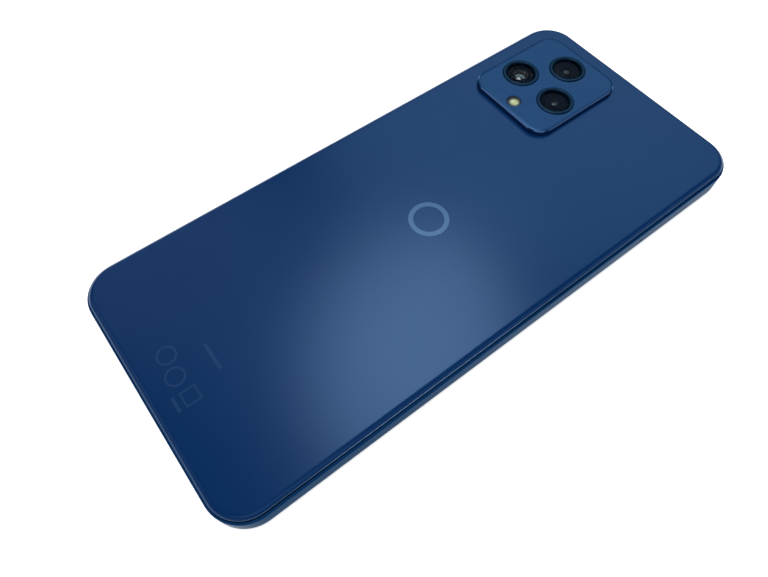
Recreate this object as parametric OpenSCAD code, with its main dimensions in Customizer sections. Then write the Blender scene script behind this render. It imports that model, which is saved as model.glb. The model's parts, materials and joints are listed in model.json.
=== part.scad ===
// Large-screen smartphone with a three-lens camera island, built up as separate pieces.
// Frame: X across the width, Y along the length (+Y to the top edge), Z through the thickness.
// The screen lies on the plane z = 0 and the back faces +Z. Millimetres.

/* [Body] */
// Length from the bottom edge to the top edge
body_len = 170; // [166:0.5:206]
// Width over the side frame, without the keys
body_w = 77.2; // [72:0.2:94]
// Thickness from the screen to the flat of the back
body_t = 8.9; // [8.6:0.1:11]
// Radius of the four corners in plan
corner_r = 9.7; // [8:0.1:14]

/* [Side frame] */
// Thickness of the side wall
wall_t = 2.2; // [2:0.1:2.8]
// Radius of the side's front edge
front_edge_r = 2.4; // [1.5:0.1:2.6]
// Radius of the side's rear shoulder
rear_edge_r = 1.6; // [1:0.1:2]
// Width of the lip around the back panel
rear_lip_w = 0.8; // [0.6:0.05:1]
// Width of the lip around the front glass
front_lip_w = 0.75; // [0.6:0.05:0.9]
// How far the ledge under the glass reaches in from the side
ledge_w = 3.4; // [3:0.1:4]
// How far the front glass stands out of its lip
glass_proud = 0.25; // [0.1:0.05:0.4]

/* [Front glass and display] */
// Thickness of the front glass
glass_t = 0.7; // [0.5:0.05:0.9]
// Radius of the front glass's polished edge
glass_edge_r = 0.35; // [0.2:0.05:0.45]
// Thickness of the display's adhesive frame
display_glue_t = 0.25; // [0.15:0.05:0.35]
// Thickness of the liquid-crystal panel
panel_t = 0.5; // [0.4:0.05:0.6]
// Thickness of the backlight tray
backlight_t = 0.8; // [0.6:0.05:0.9]
// Margin of the display below the screen's picture, at the bottom
chin = 6.5; // [5:0.1:9]
// Thickness of the metal mid plate
plate_t = 0.5; // [0.4:0.05:0.7]

/* [Back panel] */
// Thickness of the back panel
cover_t = 0.95; // [0.8:0.05:1.1]
// Radius of the back panel's curved edge
cover_edge_r = 2.05; // [1.6:0.05:2.6]
// Width of the back panel's curved edge
cover_edge_w = 1.5; // [1.2:0.05:1.55]
// Thickness of the back panel's adhesive frame
cover_glue_t = 0.25; // [0.15:0.05:0.35]

/* [Camera island] */
// Width of the island across the phone
island_w = 30; // [29:0.5:36]
// Length of the island along the phone
island_len = 35; // [34:0.5:42]
// Height of the island over the back
island_h = 1.7; // [1.5:0.1:2.4]
// Corner radius of the island
island_r = 5.2; // [4:0.1:7]
// Bevel around the island's top
island_bevel = 0.3; // [0.2:0.05:0.5]
// Gap from the phone's side to the island
island_side_gap = 6.6; // [5.5:0.1:8]
// Gap from the phone's top edge to the island
island_top_gap = 6.8; // [6:0.1:9]
// Outer radius of a lens trim ring
ring_r = 5.6; // [5.2:0.1:6]
// How far a lens trim ring stands out of the island
ring_proud = 0.3; // [0.2:0.05:0.5]
// Radius of a lens window
window_r = 4.35; // [4.1:0.05:4.7]
// Thickness of a lens window
window_t = 0.7; // [0.5:0.05:0.8]
// Distance between the two lower lenses
lens_pitch = 15; // [14:0.1:16]
// Height of the upper lens over the lower two
lens_rise = 12.9; // [12:0.1:14]
// Distance from the lower lenses down to the flash
flash_drop = 10; // [9.4:0.1:10.6]
// Radius of the flash window
flash_r = 2.1; // [1.6:0.1:2.4]

/* [Keys] */
// Length of the power key
power_len = 16; // [12:0.2:19.2]
// Height of the keys through the phone's thickness
key_h = 2.6; // [2.2:0.1:3]
// Length of the volume rocker
volume_len = 20; // [16:0.5:24]
// How far the volume rocker stands out of the side
key_proud = 0.3; // [0.2:0.05:0.4]
// Centre of the power key above the middle of the phone
power_y = 10; // [6:0.5:14]
// Gap between the two keys
key_gap = 9; // [7:0.5:12]
// How far the power key goes in
key_travel = 0.25; // [0.15:0.05:0.3]

/* [Card tray] */
// Length of the tray's face along the side
tray_face_len = 20.6; // [20:0.1:24]
// Height of the tray's face
tray_face_h = 2; // [1.8:0.1:2.2]
// How far the tray reaches into the phone
tray_depth = 27; // [26:0.5:30]
// Thickness of the tray's carrier
tray_t = 1; // [0.9:0.05:1.1]
// Distance from the phone's top edge to the pin hole
pin_hole_drop = 39.9; // [38:0.1:42]
// Radius of the pin hole
pin_hole_r = 0.5; // [0.4:0.05:0.6]

/* [Ports] */
// Radius of the headphone socket's bore
jack_bore_r = 1.8; // [1.8:0.05:1.9]
// Depth of the headphone socket
jack_len = 14; // [13:0.5:16]
// Distance of the headphone socket from the middle
jack_x = -20; // [-24:0.5:-16]
// Width of the charging socket's opening
usb_w = 8.4; // [8.3:0.05:8.5]
// Height of the charging socket's opening
usb_h = 2.6; // [2.5:0.05:2.7]
// Depth of the charging socket
usb_len = 7.4; // [7:0.1:8]
// Number of loudspeaker holes
speaker_holes = 6; // [4:1:7]
// Radius of a loudspeaker hole
speaker_hole_r = 0.65; // [0.5:0.05:0.8]

/* [Battery and boards] */
// Length of the battery
battery_len = 92; // [76:0.5:92]
// Distance from the phone's bottom edge to the battery
battery_drop = 26.2; // [25:0.1:28]
// Width of the battery
battery_w = 65; // [56:0.5:65]
// Thickness of the battery
battery_t = 4.6; // [4:0.1:4.6]
// Thickness of the circuit boards
board_t = 0.7; // [0.6:0.05:0.8]
// Radius of a screw's shank
screw_r = 0.65; // [0.5:0.05:0.65]

/* [Hidden] */
$fn = 64;

hx = body_w / 2;
hy = body_len / 2;

// Clearances between pieces
fit_gap = 0.1;
key_fit = 0.12;
slip = 0.05;
port_fit = 0.5;
hole_fit = 0.15;
slot_fit = 0.2;
board_fit = 0.6;
// Overlap that joins two shapes of one piece, and how far a cutter runs past its piece
eps = 0.01;
over = 1;

// Levels through the thickness
z_panel = glass_t + slip;
z_ledge = glass_t + display_glue_t;
z_backlight = z_panel + panel_t;
z_plate = z_backlight + backlight_t + fit_gap;
z_floor = z_plate + plate_t;
z_cover = body_t - cover_t;
z_rim = z_cover - cover_glue_t;
z_deck_top = body_t + island_h;
z_mid = z_floor + (z_rim - z_floor) * 0.4;
z_ports = z_mid;

// Back panel outline
cover_gap = 0.07;
cover_inset = rear_lip_w + cover_gap;
cover_r = corner_r - cover_inset;
lip_h = 0.4;
lip_flat = 0.12;

// Front glass outline
glass_inset = front_lip_w + fit_gap;

// Front camera and earpiece openings
front_cam_y = hy - 7.2;
front_cam_w = 6;
front_cam_r = 2;
front_cam_hole_r = 2.2;
front_cam_light_r = 2.6;
earpiece_slot_w = 12;
earpiece_slot_h = 0.7;
earpiece_slot_y = hy - glass_inset - earpiece_slot_h;

// Camera island, lenses and flash
island_x = -hx + island_side_gap + island_w / 2;
island_y = hy - island_top_gap - island_len / 2;
lens_low_y = island_y - 3.4;
LENSES = [
    [island_x - lens_pitch / 2, lens_low_y],
    [island_x, lens_low_y + lens_rise],
    [island_x + lens_pitch / 2, lens_low_y]
];
FLASH = [island_x, lens_low_y - flash_drop];
pocket_depth = 0.7;
deck_glue_t = 0.1;
z_pocket = body_t - pocket_depth;
z_deck = z_pocket + deck_glue_t;
deck_wall = 1.6;
deck_roof = 1;
z_roof = z_deck_top - deck_roof;
deck_hole_inset = 3;
deck_hole_r = island_r - deck_hole_inset + 1;
flash_flange = 0.3;
flash_board_t = 0.4;
flash_board_w = 5;
flash_board_seat = 1.1;

// Lens trim rings and windows
ring_seat = 0.6;
ring_tube_r = ring_r - 0.65;
window_seat_r = window_r - 0.4;
window_sunk = 0.2;
z_ring_seat = z_deck_top - ring_seat;
z_ring_top = z_deck_top + ring_proud;
z_window = z_ring_top - window_sunk - window_t;
ring_bevel = 0.25;

// Keys, on the -X side
z_keys = (z_floor + z_rim) / 2 - 0.3;
volume_y = power_y + power_len / 2 + key_gap + volume_len / 2;
key_flange_t = 0.5;
key_flange_over = 0.8;
rocker_gap = 0.25;
nub_w = 2.4;
nub_l = 0.5;
switch_t = 0.6;
switch_gap = key_travel + 0.1;
key_flex_t = 0.12;
bracket_t = 0.4;
key_flange_x = -hx + wall_t + slip;
rocker_flange_x = -hx + wall_t + rocker_gap;
nub_tip_x = rocker_flange_x + key_flange_t + nub_l;
switch_x = nub_tip_x + switch_gap;
key_flex_x = switch_x + switch_t;
volume_nub_pitch = volume_len * 0.64;
key_flex_h = 3.4;
key_flex_end = 3;

// Card tray, on the +X side
tray_z = z_floor + 0.25 + tray_t / 2;
pin_y = hy - pin_hole_drop;
tray_face_t = 1;
tray_face_y = pin_y + tray_face_len / 2 - 1.8;
tray_w = 15.6;
tray_y = pin_y + 1.9 + tray_w / 2;
tray_in_x = hx - tray_depth;
seal_t = 0.9;
seal_w = 0.5;
seal_sunk = 0.25;
seal_proud = 0.12;
card_floor_t = 0.3;
card_rest = 0.8;
card_gap = 1;
sim_w = 12.5;
sim_d = 9;
memory_w = 11.2;
memory_d = 13.6;
reader_wall = 0.2;
reader_gap = 0.15;
reader_back = 2.8;

// Eject lever and its rod
rod_w = 1;
rod_h = 0.8;
lever_w = 1;
lever_short = 3.4;
lever_long = 4;
lever_gap = 1.95;
rod_gap = 0.3;
lever_t = 0.6;
lever_boss_r = 0.9;
pivot_r = 0.4;
pivot_fit = 0.05;
lever_x = tray_in_x - lever_gap - lever_w / 2;
lever_y = pin_y + lever_short;

// Boards and brackets
z_board = z_floor + 2.1;
board_top = z_board + board_t;
bracket_plate_t = 0.4;
head_r = 1.2;
head_t = 0.5;
z_bracket = z_rim - bracket_plate_t - head_t;
z_bracket_top = z_bracket + bracket_plate_t;
can_t = 0.2;
z_can = z_bracket - 0.1;
board_margin = 1.7;
board_x = hx - wall_t - board_margin;
board_key_x = key_flex_x + key_flex_t + bracket_t + 0.3;
battery_y = -hy + battery_drop + battery_len / 2;
battery_top_y = battery_y + battery_len / 2;
battery_z = z_floor + 0.1;
board_bottom_y = battery_top_y + 1.8;
board_step_y = min(island_y - 12.4, lens_low_y - 9);
board_top_y = hy - 11;
board_left_x = island_x + island_w / 2 + 0.6;
sub_top_y = battery_y - battery_len / 2 - 1.6;
sub_bottom_y = -hy + wall_t + 0.6;
z_sub = z_ports - board_t - 0.1;
sub_top = z_sub + board_t;
sub_right_x = 7;
post_r = 1.7;
post_hole_r = screw_r + 0.08;
screw_bite = 1.6;

TOP_SCREWS = [
    [board_key_x + 2.4, board_bottom_y + 2.4],
    [board_left_x + 4.2, board_bottom_y + 2.4],
    [board_x - 2.4, board_bottom_y + 6],
    [board_left_x + 2.4, board_top_y - 2.4],
    [board_x - 2.4, board_top_y - 2.4]
];
BOTTOM_SCREWS = [
    [-board_x + 2.4, sub_top_y - 2.4],
    [sub_right_x - 2.4, sub_top_y - 2.4],
    [-board_x + 2.4, sub_bottom_y + 8]
];

// Headphone socket
jack_w = 6.4;
jack_wall = 0.6;
jack_side_fit = 0.4;

// Loudspeaker, microphone and earpiece
speaker_x0 = sub_right_x + 2;
speaker_x1 = board_x;
speaker_pitch = 2.4;
speaker_run = (speaker_holes - 1) * speaker_pitch;
speaker_hole_x = (speaker_x0 + speaker_x1 - speaker_run) / 2;
speaker_end_x = speaker_hole_x + speaker_run;
mic_x = -8;
mic_r = 0.4;
earpiece_x = 5.2;
earpiece_w = 12;
earpiece_len = 5.6;
earpiece_h = 2.4;
earpiece_y = hy - wall_t - 0.4 - earpiece_len;
sound_wall = 1;
sound_h = 1;
chamber_margin = 1.4;
chamber_half_h = 1.1;
chamber_depth = 7;
mesh_t = 0.2;

// Flat strip of the display
display_flex_x = -2;
display_flex_y = -hy + chin + 1.4;
display_flex_w = 16;
flex_t = 0.12;
display_slot_w = 1.6;

// Motor
motor_r = 4;
motor_x = -board_x + 5.2;
motor_y = sub_top_y - 8.2;
motor_h = 2.8;
motor_wall = 0.25;
motor_pin_r = 0.4;
rotor_gap = 0.6;
rotor_hub_r = 1.3;
rotor_r = 3.45;
rotor_fit = 0.06;

// ---------------------------------------------------------------- shared shapes

// Rounded rectangle centred on the origin
module plan(w, l, r) {
    square([w - 2 * r, l], center = true);
    square([w, l - 2 * r], center = true);
    for (sx = [-1, 1], sy = [-1, 1])
        translate([sx * (w / 2 - r), sy * (l / 2 - r)]) circle(r);
}

// Slot outline with round ends, centred on the origin
module pill(w, h) {
    square([w - h, h], center = true);
    for (sx = [-1, 1]) translate([sx * (w - h) / 2, 0]) circle(h / 2);
}

// Rounded slab between two levels
module slab(w, l, r, z0, z1) {
    translate([0, 0, z0]) linear_extrude(z1 - z0) plan(w, l, r);
}

// Flat frame between an outer and an inner rounded rectangle
module flat_ring(w, l, r, width, z0, z1) {
    translate([0, 0, z0]) linear_extrude(z1 - z0) difference() {
        plan(w, l, r);
        plan(w - 2 * width, l - 2 * width, r - width);
    }
}

// Sweeps a profile round a rounded rectangle; the profile's x is measured out from the corner's centre
module sweep_round(w, l, r) {
    for (side = [0 : 3]) {
        along = side % 2 == 0 ? l : w;
        across = side % 2 == 0 ? w : l;
        rotate([0, 0, 90 * side]) {
            translate([across / 2 - r, along / 2 - r, 0]) rotate_extrude(angle = 90) children();
            translate([across / 2 - r, along / 2 - r, 0])
                rotate([90, 0, 0]) linear_extrude(along - 2 * r) children();
        }
    }
}

// Box between two corners
module span(a, b) {
    translate(a) cube(b - a);
}

// Box centred in X and Y that stands on a level
module block(x, y, z, size) {
    translate([x - size.x / 2, y - size.y / 2, z]) cube(size);
}

// Cylinder that stands on a level
module post(p, r, z0, z1) {
    translate([p.x, p.y, z0]) cylinder(r = r, h = z1 - z0);
}

// Keeps a piece inside the side frame, rounded corners included
module inside(gap) {
    inset = wall_t + gap;
    intersection() {
        children();
        slab(body_w - 2 * inset, body_len - 2 * inset, corner_r - inset, 0, body_t);
    }
}

// Rounded slot through the direction Y, for ports on a short side
module port_slot(x, z, w, h, y0, y1) {
    translate([x, y1, z]) rotate([90, 0, 0]) linear_extrude(y1 - y0) pill(w, h);
}

// Rounded slot through the direction X, for keys and the tray on a long side
module side_slot(y, z, l, h, x0, x1) {
    translate([x0, y, z]) rotate([90, 0, 90]) linear_extrude(x1 - x0) pill(l, h);
}

// ---------------------------------------------------------------- front glass and display

module glass_profile(r) {
    square([r - glass_edge_r, glass_t]);
    translate([0, glass_edge_r]) square([r, glass_t - glass_edge_r]);
    translate([r - glass_edge_r, glass_edge_r]) circle(glass_edge_r);
}

module cover_glass() {
    w = body_w - 2 * glass_inset;
    l = body_len - 2 * glass_inset;
    r = corner_r - glass_inset;
    color([0.02, 0.02, 0.03]) difference() {
        union() {
            sweep_round(w, l, r) glass_profile(r);
            block(0, 0, 0, [w - 2 * r, l - 2 * r, glass_t]);
        }
        block(0, hy - glass_inset, -over, [earpiece_slot_w, 2 * earpiece_slot_h, glass_t + 2 * over]);
    }
}

module display_outline(z0, z1, inset) {
    edge = ledge_w + fit_gap + inset;
    y0 = -hy + chin + inset;
    y1 = hy - edge;
    translate([0, (y0 + y1) / 2, 0]) slab(body_w - 2 * edge, y1 - y0, corner_r - edge, z0, z1);
}

module display_panel() {
    color([0.08, 0.09, 0.12]) difference() {
        display_outline(z_panel, z_backlight, 0);
        post([0, front_cam_y], front_cam_hole_r, z_panel - over, z_backlight + over);
    }
}

module backlight() {
    color([0.85, 0.86, 0.88]) difference() {
        display_outline(z_backlight, z_backlight + backlight_t, 0.3);
        post([0, front_cam_y], front_cam_light_r, z_backlight - over, z_plate + over);
    }
}

module display_adhesive() {
    width = ledge_w - glass_inset - 3 * fit_gap;
    inset = glass_inset + 2 * fit_gap;
    color([0.05, 0.05, 0.05]) difference() {
        flat_ring(body_w - 2 * inset, body_len - 2 * inset, corner_r - inset, width, glass_t, z_ledge);
        block(0, hy - glass_inset, 0, [earpiece_slot_w + 1, 2 * earpiece_slot_h + 1, z_ledge + over]);
    }
}

// ---------------------------------------------------------------- side frame and mid plate

// Wall of the side frame: curved front edge, upright side, rear shoulder, ledge for the glass
module frame_profile() {
    inner = corner_r - wall_t;
    front_x = corner_r - front_edge_r;
    rear_x = corner_r - rear_edge_r;
    z_lip = z_rim + lip_h;
    z_f = glass_proud + sqrt(pow(front_edge_r, 2) - pow(front_edge_r - front_lip_w + lip_flat, 2));
    z_r = z_lip - sqrt(pow(rear_edge_r, 2) - pow(rear_edge_r - rear_lip_w + lip_flat, 2));
    difference() {
        intersection() {
            translate([corner_r - ledge_w, glass_proud]) square([ledge_w, z_lip - glass_proud]);
            union() {
                translate([0, z_f]) square([corner_r, z_r - z_f]);
                square([front_x, z_f]);
                translate([front_x, z_f]) circle(front_edge_r);
                translate([0, z_r]) square([rear_x, z_lip]);
                translate([rear_x, z_r]) circle(rear_edge_r);
            }
        }
        // seat of the front glass
        square([corner_r - front_lip_w, z_ledge]);
        // seat of the back panel
        translate([0, z_rim]) square([corner_r - rear_lip_w, z_lip]);
        // space inside, behind the ledge
        translate([0, z_plate]) square([inner, z_lip]);
    }
}

module key_opening(y, l) {
    side_slot(y, z_keys, l + 2 * key_fit, key_h + 2 * key_fit, -hx - over, -hx + wall_t + over);
}

// Round hole through the wall of a short side
module wall_hole(x, z, r) {
    translate([x, -hy + wall_t + over, z]) rotate([90, 0, 0]) cylinder(r = r, h = wall_t + 2 * over);
}

module tray_opening() {
    x0 = hx - wall_t - over;
    half_y = tray_w / 2 + slot_fit;
    half_z = tray_t / 2 + slot_fit;
    side_slot(tray_face_y, tray_z, tray_face_len + 2 * fit_gap, tray_face_h + 2 * fit_gap,
        hx - tray_face_t - fit_gap, hx + over);
    span([x0, tray_y - half_y, tray_z - half_z], [hx, tray_y + half_y, tray_z + half_z]);
    translate([x0, pin_y, tray_z]) rotate([0, 90, 0])
        cylinder(r = pin_hole_r + hole_fit, h = wall_t + over);
}

module side_frame() {
    color([0.16, 0.27, 0.43]) difference() {
        sweep_round(body_w, body_len, corner_r) frame_profile();
        key_opening(power_y, power_len);
        key_opening(volume_y, volume_len);
        tray_opening();
        port_slot(0, z_ports, usb_w + 2 * port_fit, usb_h + 2 * port_fit, -hy - over, -hy + wall_t + over);
        wall_hole(jack_x, z_ports, jack_bore_r + hole_fit);
        wall_hole(mic_x, z_ports, mic_r);
        for (n = [0 : speaker_holes - 1])
            wall_hole(speaker_hole_x + n * speaker_pitch, z_ports, speaker_hole_r);
        // sound path of the earpiece, from the slot over the glass into the frame
        span([-earpiece_slot_w / 2, hy - ledge_w - over, 0],
            [earpiece_slot_w / 2, hy - sound_wall, z_floor + sound_h]);
        span([-earpiece_slot_w / 2, hy - wall_t - over, z_floor],
            [earpiece_x + earpiece_w, hy - sound_wall, z_floor + sound_h]);
    }
}

module display_slot() {
    block(display_flex_x, display_flex_y, z_plate - over,
        [display_flex_w + 2, display_slot_w, plate_t + 2 * over]);
}

module mid_plate() {
    inset = wall_t + fit_gap;
    color([0.62, 0.64, 0.66]) difference() {
        union() {
            slab(body_w - 2 * inset, body_len - 2 * inset, corner_r - inset, z_plate, z_floor);
            for (p = TOP_SCREWS) post(p, post_r, z_floor - eps, z_board);
            for (p = BOTTOM_SCREWS) post(p, post_r, z_floor - eps, z_sub);
        }
        for (p = TOP_SCREWS) post(p, post_hole_r, z_board - screw_bite - slot_fit, z_board + over);
        for (p = BOTTOM_SCREWS) post(p, post_hole_r, z_sub - screw_bite - slot_fit, z_sub + over);
        display_slot();
        // window under the headphone socket
        block(jack_x, sub_bottom_y + jack_len / 2, z_plate - over,
            [jack_w + 2 * jack_side_fit, jack_len + 2, plate_t + 2 * over]);
        post([0, front_cam_y], front_cam_hole_r, z_plate - over, z_floor + over);
        // sound path of the earpiece
        block(0, hy - wall_t, z_plate - over, [earpiece_slot_w + 1, 4, plate_t + 2 * over]);
    }
}

// ---------------------------------------------------------------- back panel

module cover_profile() {
    flat = cover_r - cover_edge_w;
    translate([0, z_cover]) square([flat, cover_t]);
    intersection() {
        translate([flat, body_t - cover_edge_r]) circle(cover_edge_r);
        translate([flat, z_cover]) square([cover_edge_w, cover_t]);
    }
}

module rear_cover() {
    w = body_w - 2 * cover_inset;
    l = body_len - 2 * cover_inset;
    color([0.12, 0.23, 0.41]) difference() {
        union() {
            sweep_round(w, l, cover_r) cover_profile();
            block(0, 0, z_cover, [w - 2 * cover_r, l - 2 * cover_r, cover_t]);
        }
        translate([island_x, island_y, 0]) {
            slab(island_w + 2 * fit_gap, island_len + 2 * fit_gap, island_r + fit_gap,
                z_pocket, body_t + over);
            slab(island_w - 2 * deck_hole_inset, island_len - 2 * deck_hole_inset, deck_hole_r,
                z_cover - over, body_t);
        }
    }
}

module rear_cover_adhesive() {
    inset = cover_inset + 0.1;
    width = wall_t - inset - 0.05;
    color([0.1, 0.1, 0.1])
        flat_ring(body_w - 2 * inset, body_len - 2 * inset, corner_r - inset, width, z_rim, z_cover);
}

// ---------------------------------------------------------------- camera island

module deck_profile() {
    h = z_deck_top - z_deck;
    polygon([
        [0, 0], [island_r, 0], [island_r, h - island_bevel], [island_r - island_bevel, h], [0, h]
    ]);
}

module camera_deck() {
    color([0.2, 0.33, 0.5]) difference() {
        translate([island_x, island_y, z_deck]) {
            sweep_round(island_w, island_len, island_r) deck_profile();
            block(0, 0, 0, [island_w - 2 * island_r, island_len - 2 * island_r, z_deck_top - z_deck]);
        }
        translate([island_x, island_y, 0])
            slab(island_w - 2 * deck_wall, island_len - 2 * deck_wall, island_r - deck_wall,
                z_deck - over, z_roof);
        for (p = LENSES) {
            post(p, ring_r + slip, z_ring_seat, z_deck_top + over);
            post(p, ring_tube_r + slip, z_roof - over, z_deck_top);
        }
        post(FLASH, flash_r + slip, z_roof - over, z_deck_top + over);
    }
}

module camera_deck_adhesive() {
    color([0.1, 0.1, 0.1]) translate([island_x, island_y, 0])
        flat_ring(island_w - 0.2, island_len - 0.2, island_r - 0.1, deck_wall - 0.2, z_pocket, z_deck);
}

// Trim ring turned about the lens axis: flange on the island, tube through it, seat for the window
module lens_ring(p) {
    color([0.1, 0.17, 0.28]) translate([p.x, p.y, 0]) rotate_extrude() difference() {
        union() {
            polygon([
                [0, z_ring_seat], [ring_r, z_ring_seat], [ring_r, z_ring_top - ring_bevel],
                [ring_r - ring_bevel, z_ring_top], [0, z_ring_top]
            ]);
            translate([0, z_roof]) square([ring_tube_r, z_ring_seat - z_roof + eps]);
        }
        translate([0, z_window]) square([window_r + slip, z_ring_top]);
        square([window_seat_r, z_ring_top + over]);
        polygon([
            [0, z_ring_top - window_sunk], [window_r + slip, z_ring_top - window_sunk],
            [window_r + slip + 0.7, z_ring_top + 0.5], [0, z_ring_top + 0.5]
        ]);
    }
}

module lens_ring_1() { lens_ring(LENSES[0]); }
module lens_ring_2() { lens_ring(LENSES[1]); }
module lens_ring_3() { lens_ring(LENSES[2]); }

module lens_window(p) {
    color([0.03, 0.05, 0.1]) post(p, window_r, z_window, z_window + window_t);
}

module lens_window_1() { lens_window(LENSES[0]); }
module lens_window_2() { lens_window(LENSES[1]); }
module lens_window_3() { lens_window(LENSES[2]); }

module flash_window() {
    color([0.92, 0.93, 0.8]) {
        post(FLASH, flash_r, z_roof - 0.2, z_deck_top - 0.05);
        post(FLASH, flash_r + flash_flange, z_roof - 0.45, z_roof - 0.05);
    }
}

// Board of the flash; its lower end rests on the back panel inside the island
module flash_board() {
    y0 = island_y - island_len / 2 + deck_hole_inset - flash_board_seat;
    y1 = FLASH.y + flash_board_w / 2 - 0.3;
    color([0.1, 0.3, 0.2]) span([FLASH.x - flash_board_w / 2, y0, z_pocket],
        [FLASH.x + flash_board_w / 2, y1, z_pocket + flash_board_t]);
}

module flash_led() {
    color([0.95, 0.9, 0.4]) block(FLASH.x, FLASH.y, z_pocket + flash_board_t, [2.2, 2.2, 0.45]);
}

// ---------------------------------------------------------------- cameras

cam_base_z = z_floor;
cam_base_t = 0.6;
cam_w = 10.6;
cam_top = z_cover - 0.2;
cam_well_z = cam_base_z + 1.4;
barrel_r = 3.4;
barrel_fit = 0.15;
barrel_z = cam_base_z + 1.8;
barrel_top = z_window - 0.55;
eye_r = 1.6;
eye_mouth_r = 2.4;
eye_depth = 0.5;
sensor_w = 7.8;
sensor_len = 6.2;
sensor_t = 0.4;
small_cam_w = 8.2;
small_cam_step = 0.6;
small_barrel_r = 2.7;
small_eye_r = 0.9;
small_eye_mouth_r = 1.5;
small_eye_depth = 0.4;

module main_camera() {
    p = LENSES[0];
    color([0.15, 0.15, 0.16]) difference() {
        block(p.x, p.y, cam_base_z, [cam_w, cam_w, cam_top - cam_base_z]);
        post(p, barrel_r + barrel_fit, cam_well_z, cam_top + over);
        block(p.x, p.y, cam_base_z + cam_base_t, [sensor_w + 0.4, sensor_len + 0.4, 1]);
    }
}

module image_sensor() {
    color([0.3, 0.25, 0.35])
        block(LENSES[0].x, LENSES[0].y, cam_base_z + cam_base_t, [sensor_w, sensor_len, sensor_t]);
}

module main_lens_barrel() {
    p = LENSES[0];
    color([0.05, 0.05, 0.06]) difference() {
        post(p, barrel_r, barrel_z, barrel_top);
        translate([p.x, p.y, barrel_top - eye_depth])
            cylinder(r1 = eye_r, r2 = eye_mouth_r, h = eye_depth + eps);
    }
}

module small_camera(p) {
    color([0.12, 0.12, 0.13]) difference() {
        union() {
            block(p.x, p.y, cam_base_z, [small_cam_w, small_cam_w, cam_top - cam_base_z - small_cam_step]);
            post(p, small_barrel_r, cam_top - 1, barrel_top);
        }
        translate([p.x, p.y, barrel_top - small_eye_depth])
            cylinder(r1 = small_eye_r, r2 = small_eye_mouth_r, h = small_eye_depth + eps);
    }
}

module wide_camera() { small_camera(LENSES[1]); }
module macro_camera() { small_camera(LENSES[2]); }

module front_camera() {
    color([0.12, 0.12, 0.13]) {
        block(0, front_cam_y, z_floor, [front_cam_w, front_cam_w, 3]);
        post([0, front_cam_y], front_cam_r, z_panel + fit_gap, z_floor + 1);
    }
}

// ---------------------------------------------------------------- sound

module earpiece() {
    color([0.2, 0.2, 0.22])
        span([earpiece_x, earpiece_y, z_floor],
            [earpiece_x + earpiece_w, earpiece_y + earpiece_len, z_floor + earpiece_h]);
}

module earpiece_mesh() {
    color([0.1, 0.1, 0.1])
        span([-earpiece_slot_w / 2, earpiece_slot_y, 0.15],
            [earpiece_slot_w / 2, earpiece_slot_y + earpiece_slot_h - fit_gap, glass_t - slip]);
}

module loudspeaker() {
    color([0.13, 0.13, 0.14]) difference() {
        inside(board_fit) span([speaker_x0, -hy, z_floor],
            [speaker_x1 - board_fit, sub_top_y - 1, z_bracket - slot_fit]);
        // diaphragm chamber, open to the side
        span([speaker_hole_x - chamber_margin, sub_bottom_y - over, z_ports - chamber_half_h],
            [speaker_end_x + chamber_margin, sub_bottom_y + chamber_depth, z_ports + chamber_half_h]);
    }
}

module loudspeaker_mesh() {
    margin = chamber_margin - mesh_t;
    half_h = chamber_half_h - hole_fit;
    color([0.3, 0.3, 0.32])
        span([speaker_hole_x - margin, -hy + wall_t, z_ports - half_h],
            [speaker_end_x + margin, -hy + wall_t + mesh_t, z_ports + half_h]);
}

module microphone() {
    color([0.75, 0.65, 0.4]) block(mic_x, sub_bottom_y + 2.1, sub_top, [3.6, 2.8, 1]);
}

// ---------------------------------------------------------------- ports

usb_wall = 0.3;
usb_front = -hy + 0.25;
usb_back_t = 1;
tongue_w = 6.7;
tongue_t = 0.7;
tongue_root = 2.2;

module usb_shell() {
    color([0.72, 0.73, 0.74]) difference() {
        port_slot(0, z_ports, usb_w + 2 * usb_wall, usb_h + 2 * usb_wall, usb_front, usb_front + usb_len);
        port_slot(0, z_ports, usb_w, usb_h, usb_front - over, usb_front + usb_len - usb_back_t);
    }
    // soldering tabs on the lower board
    for (side = [-1, 1]) color([0.72, 0.73, 0.74])
        block(side * (usb_w / 2 + usb_wall + 0.6), usb_front + usb_len - 3, sub_top, [1.4, 1.6, 0.3]);
}

module usb_tongue() {
    color([0.06, 0.06, 0.07]) {
        block(0, usb_front + usb_len / 2, z_ports - tongue_t / 2,
            [tongue_w, usb_len - tongue_root, tongue_t]);
        port_slot(0, z_ports, usb_w - fit_gap, usb_h - fit_gap, usb_front + usb_len - tongue_root,
            usb_front + usb_len - usb_back_t - slip);
    }
}

module headphone_socket() {
    mouth = -hy + wall_t + hole_fit;
    color([0.08, 0.08, 0.09]) difference() {
        union() {
            block(jack_x, mouth + jack_len / 2, z_ports - jack_bore_r - jack_wall,
                [jack_w, jack_len, 2 * (jack_bore_r + jack_wall)]);
            // soldering tab on the lower board
            block(jack_x, mouth + jack_len - 3, sub_top, [8.6, 1.6, 0.5]);
        }
        translate([jack_x, mouth + jack_len - 1, z_ports]) rotate([90, 0, 0])
            cylinder(r = jack_bore_r, h = jack_len);
    }
}

// ---------------------------------------------------------------- card tray and reader

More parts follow.
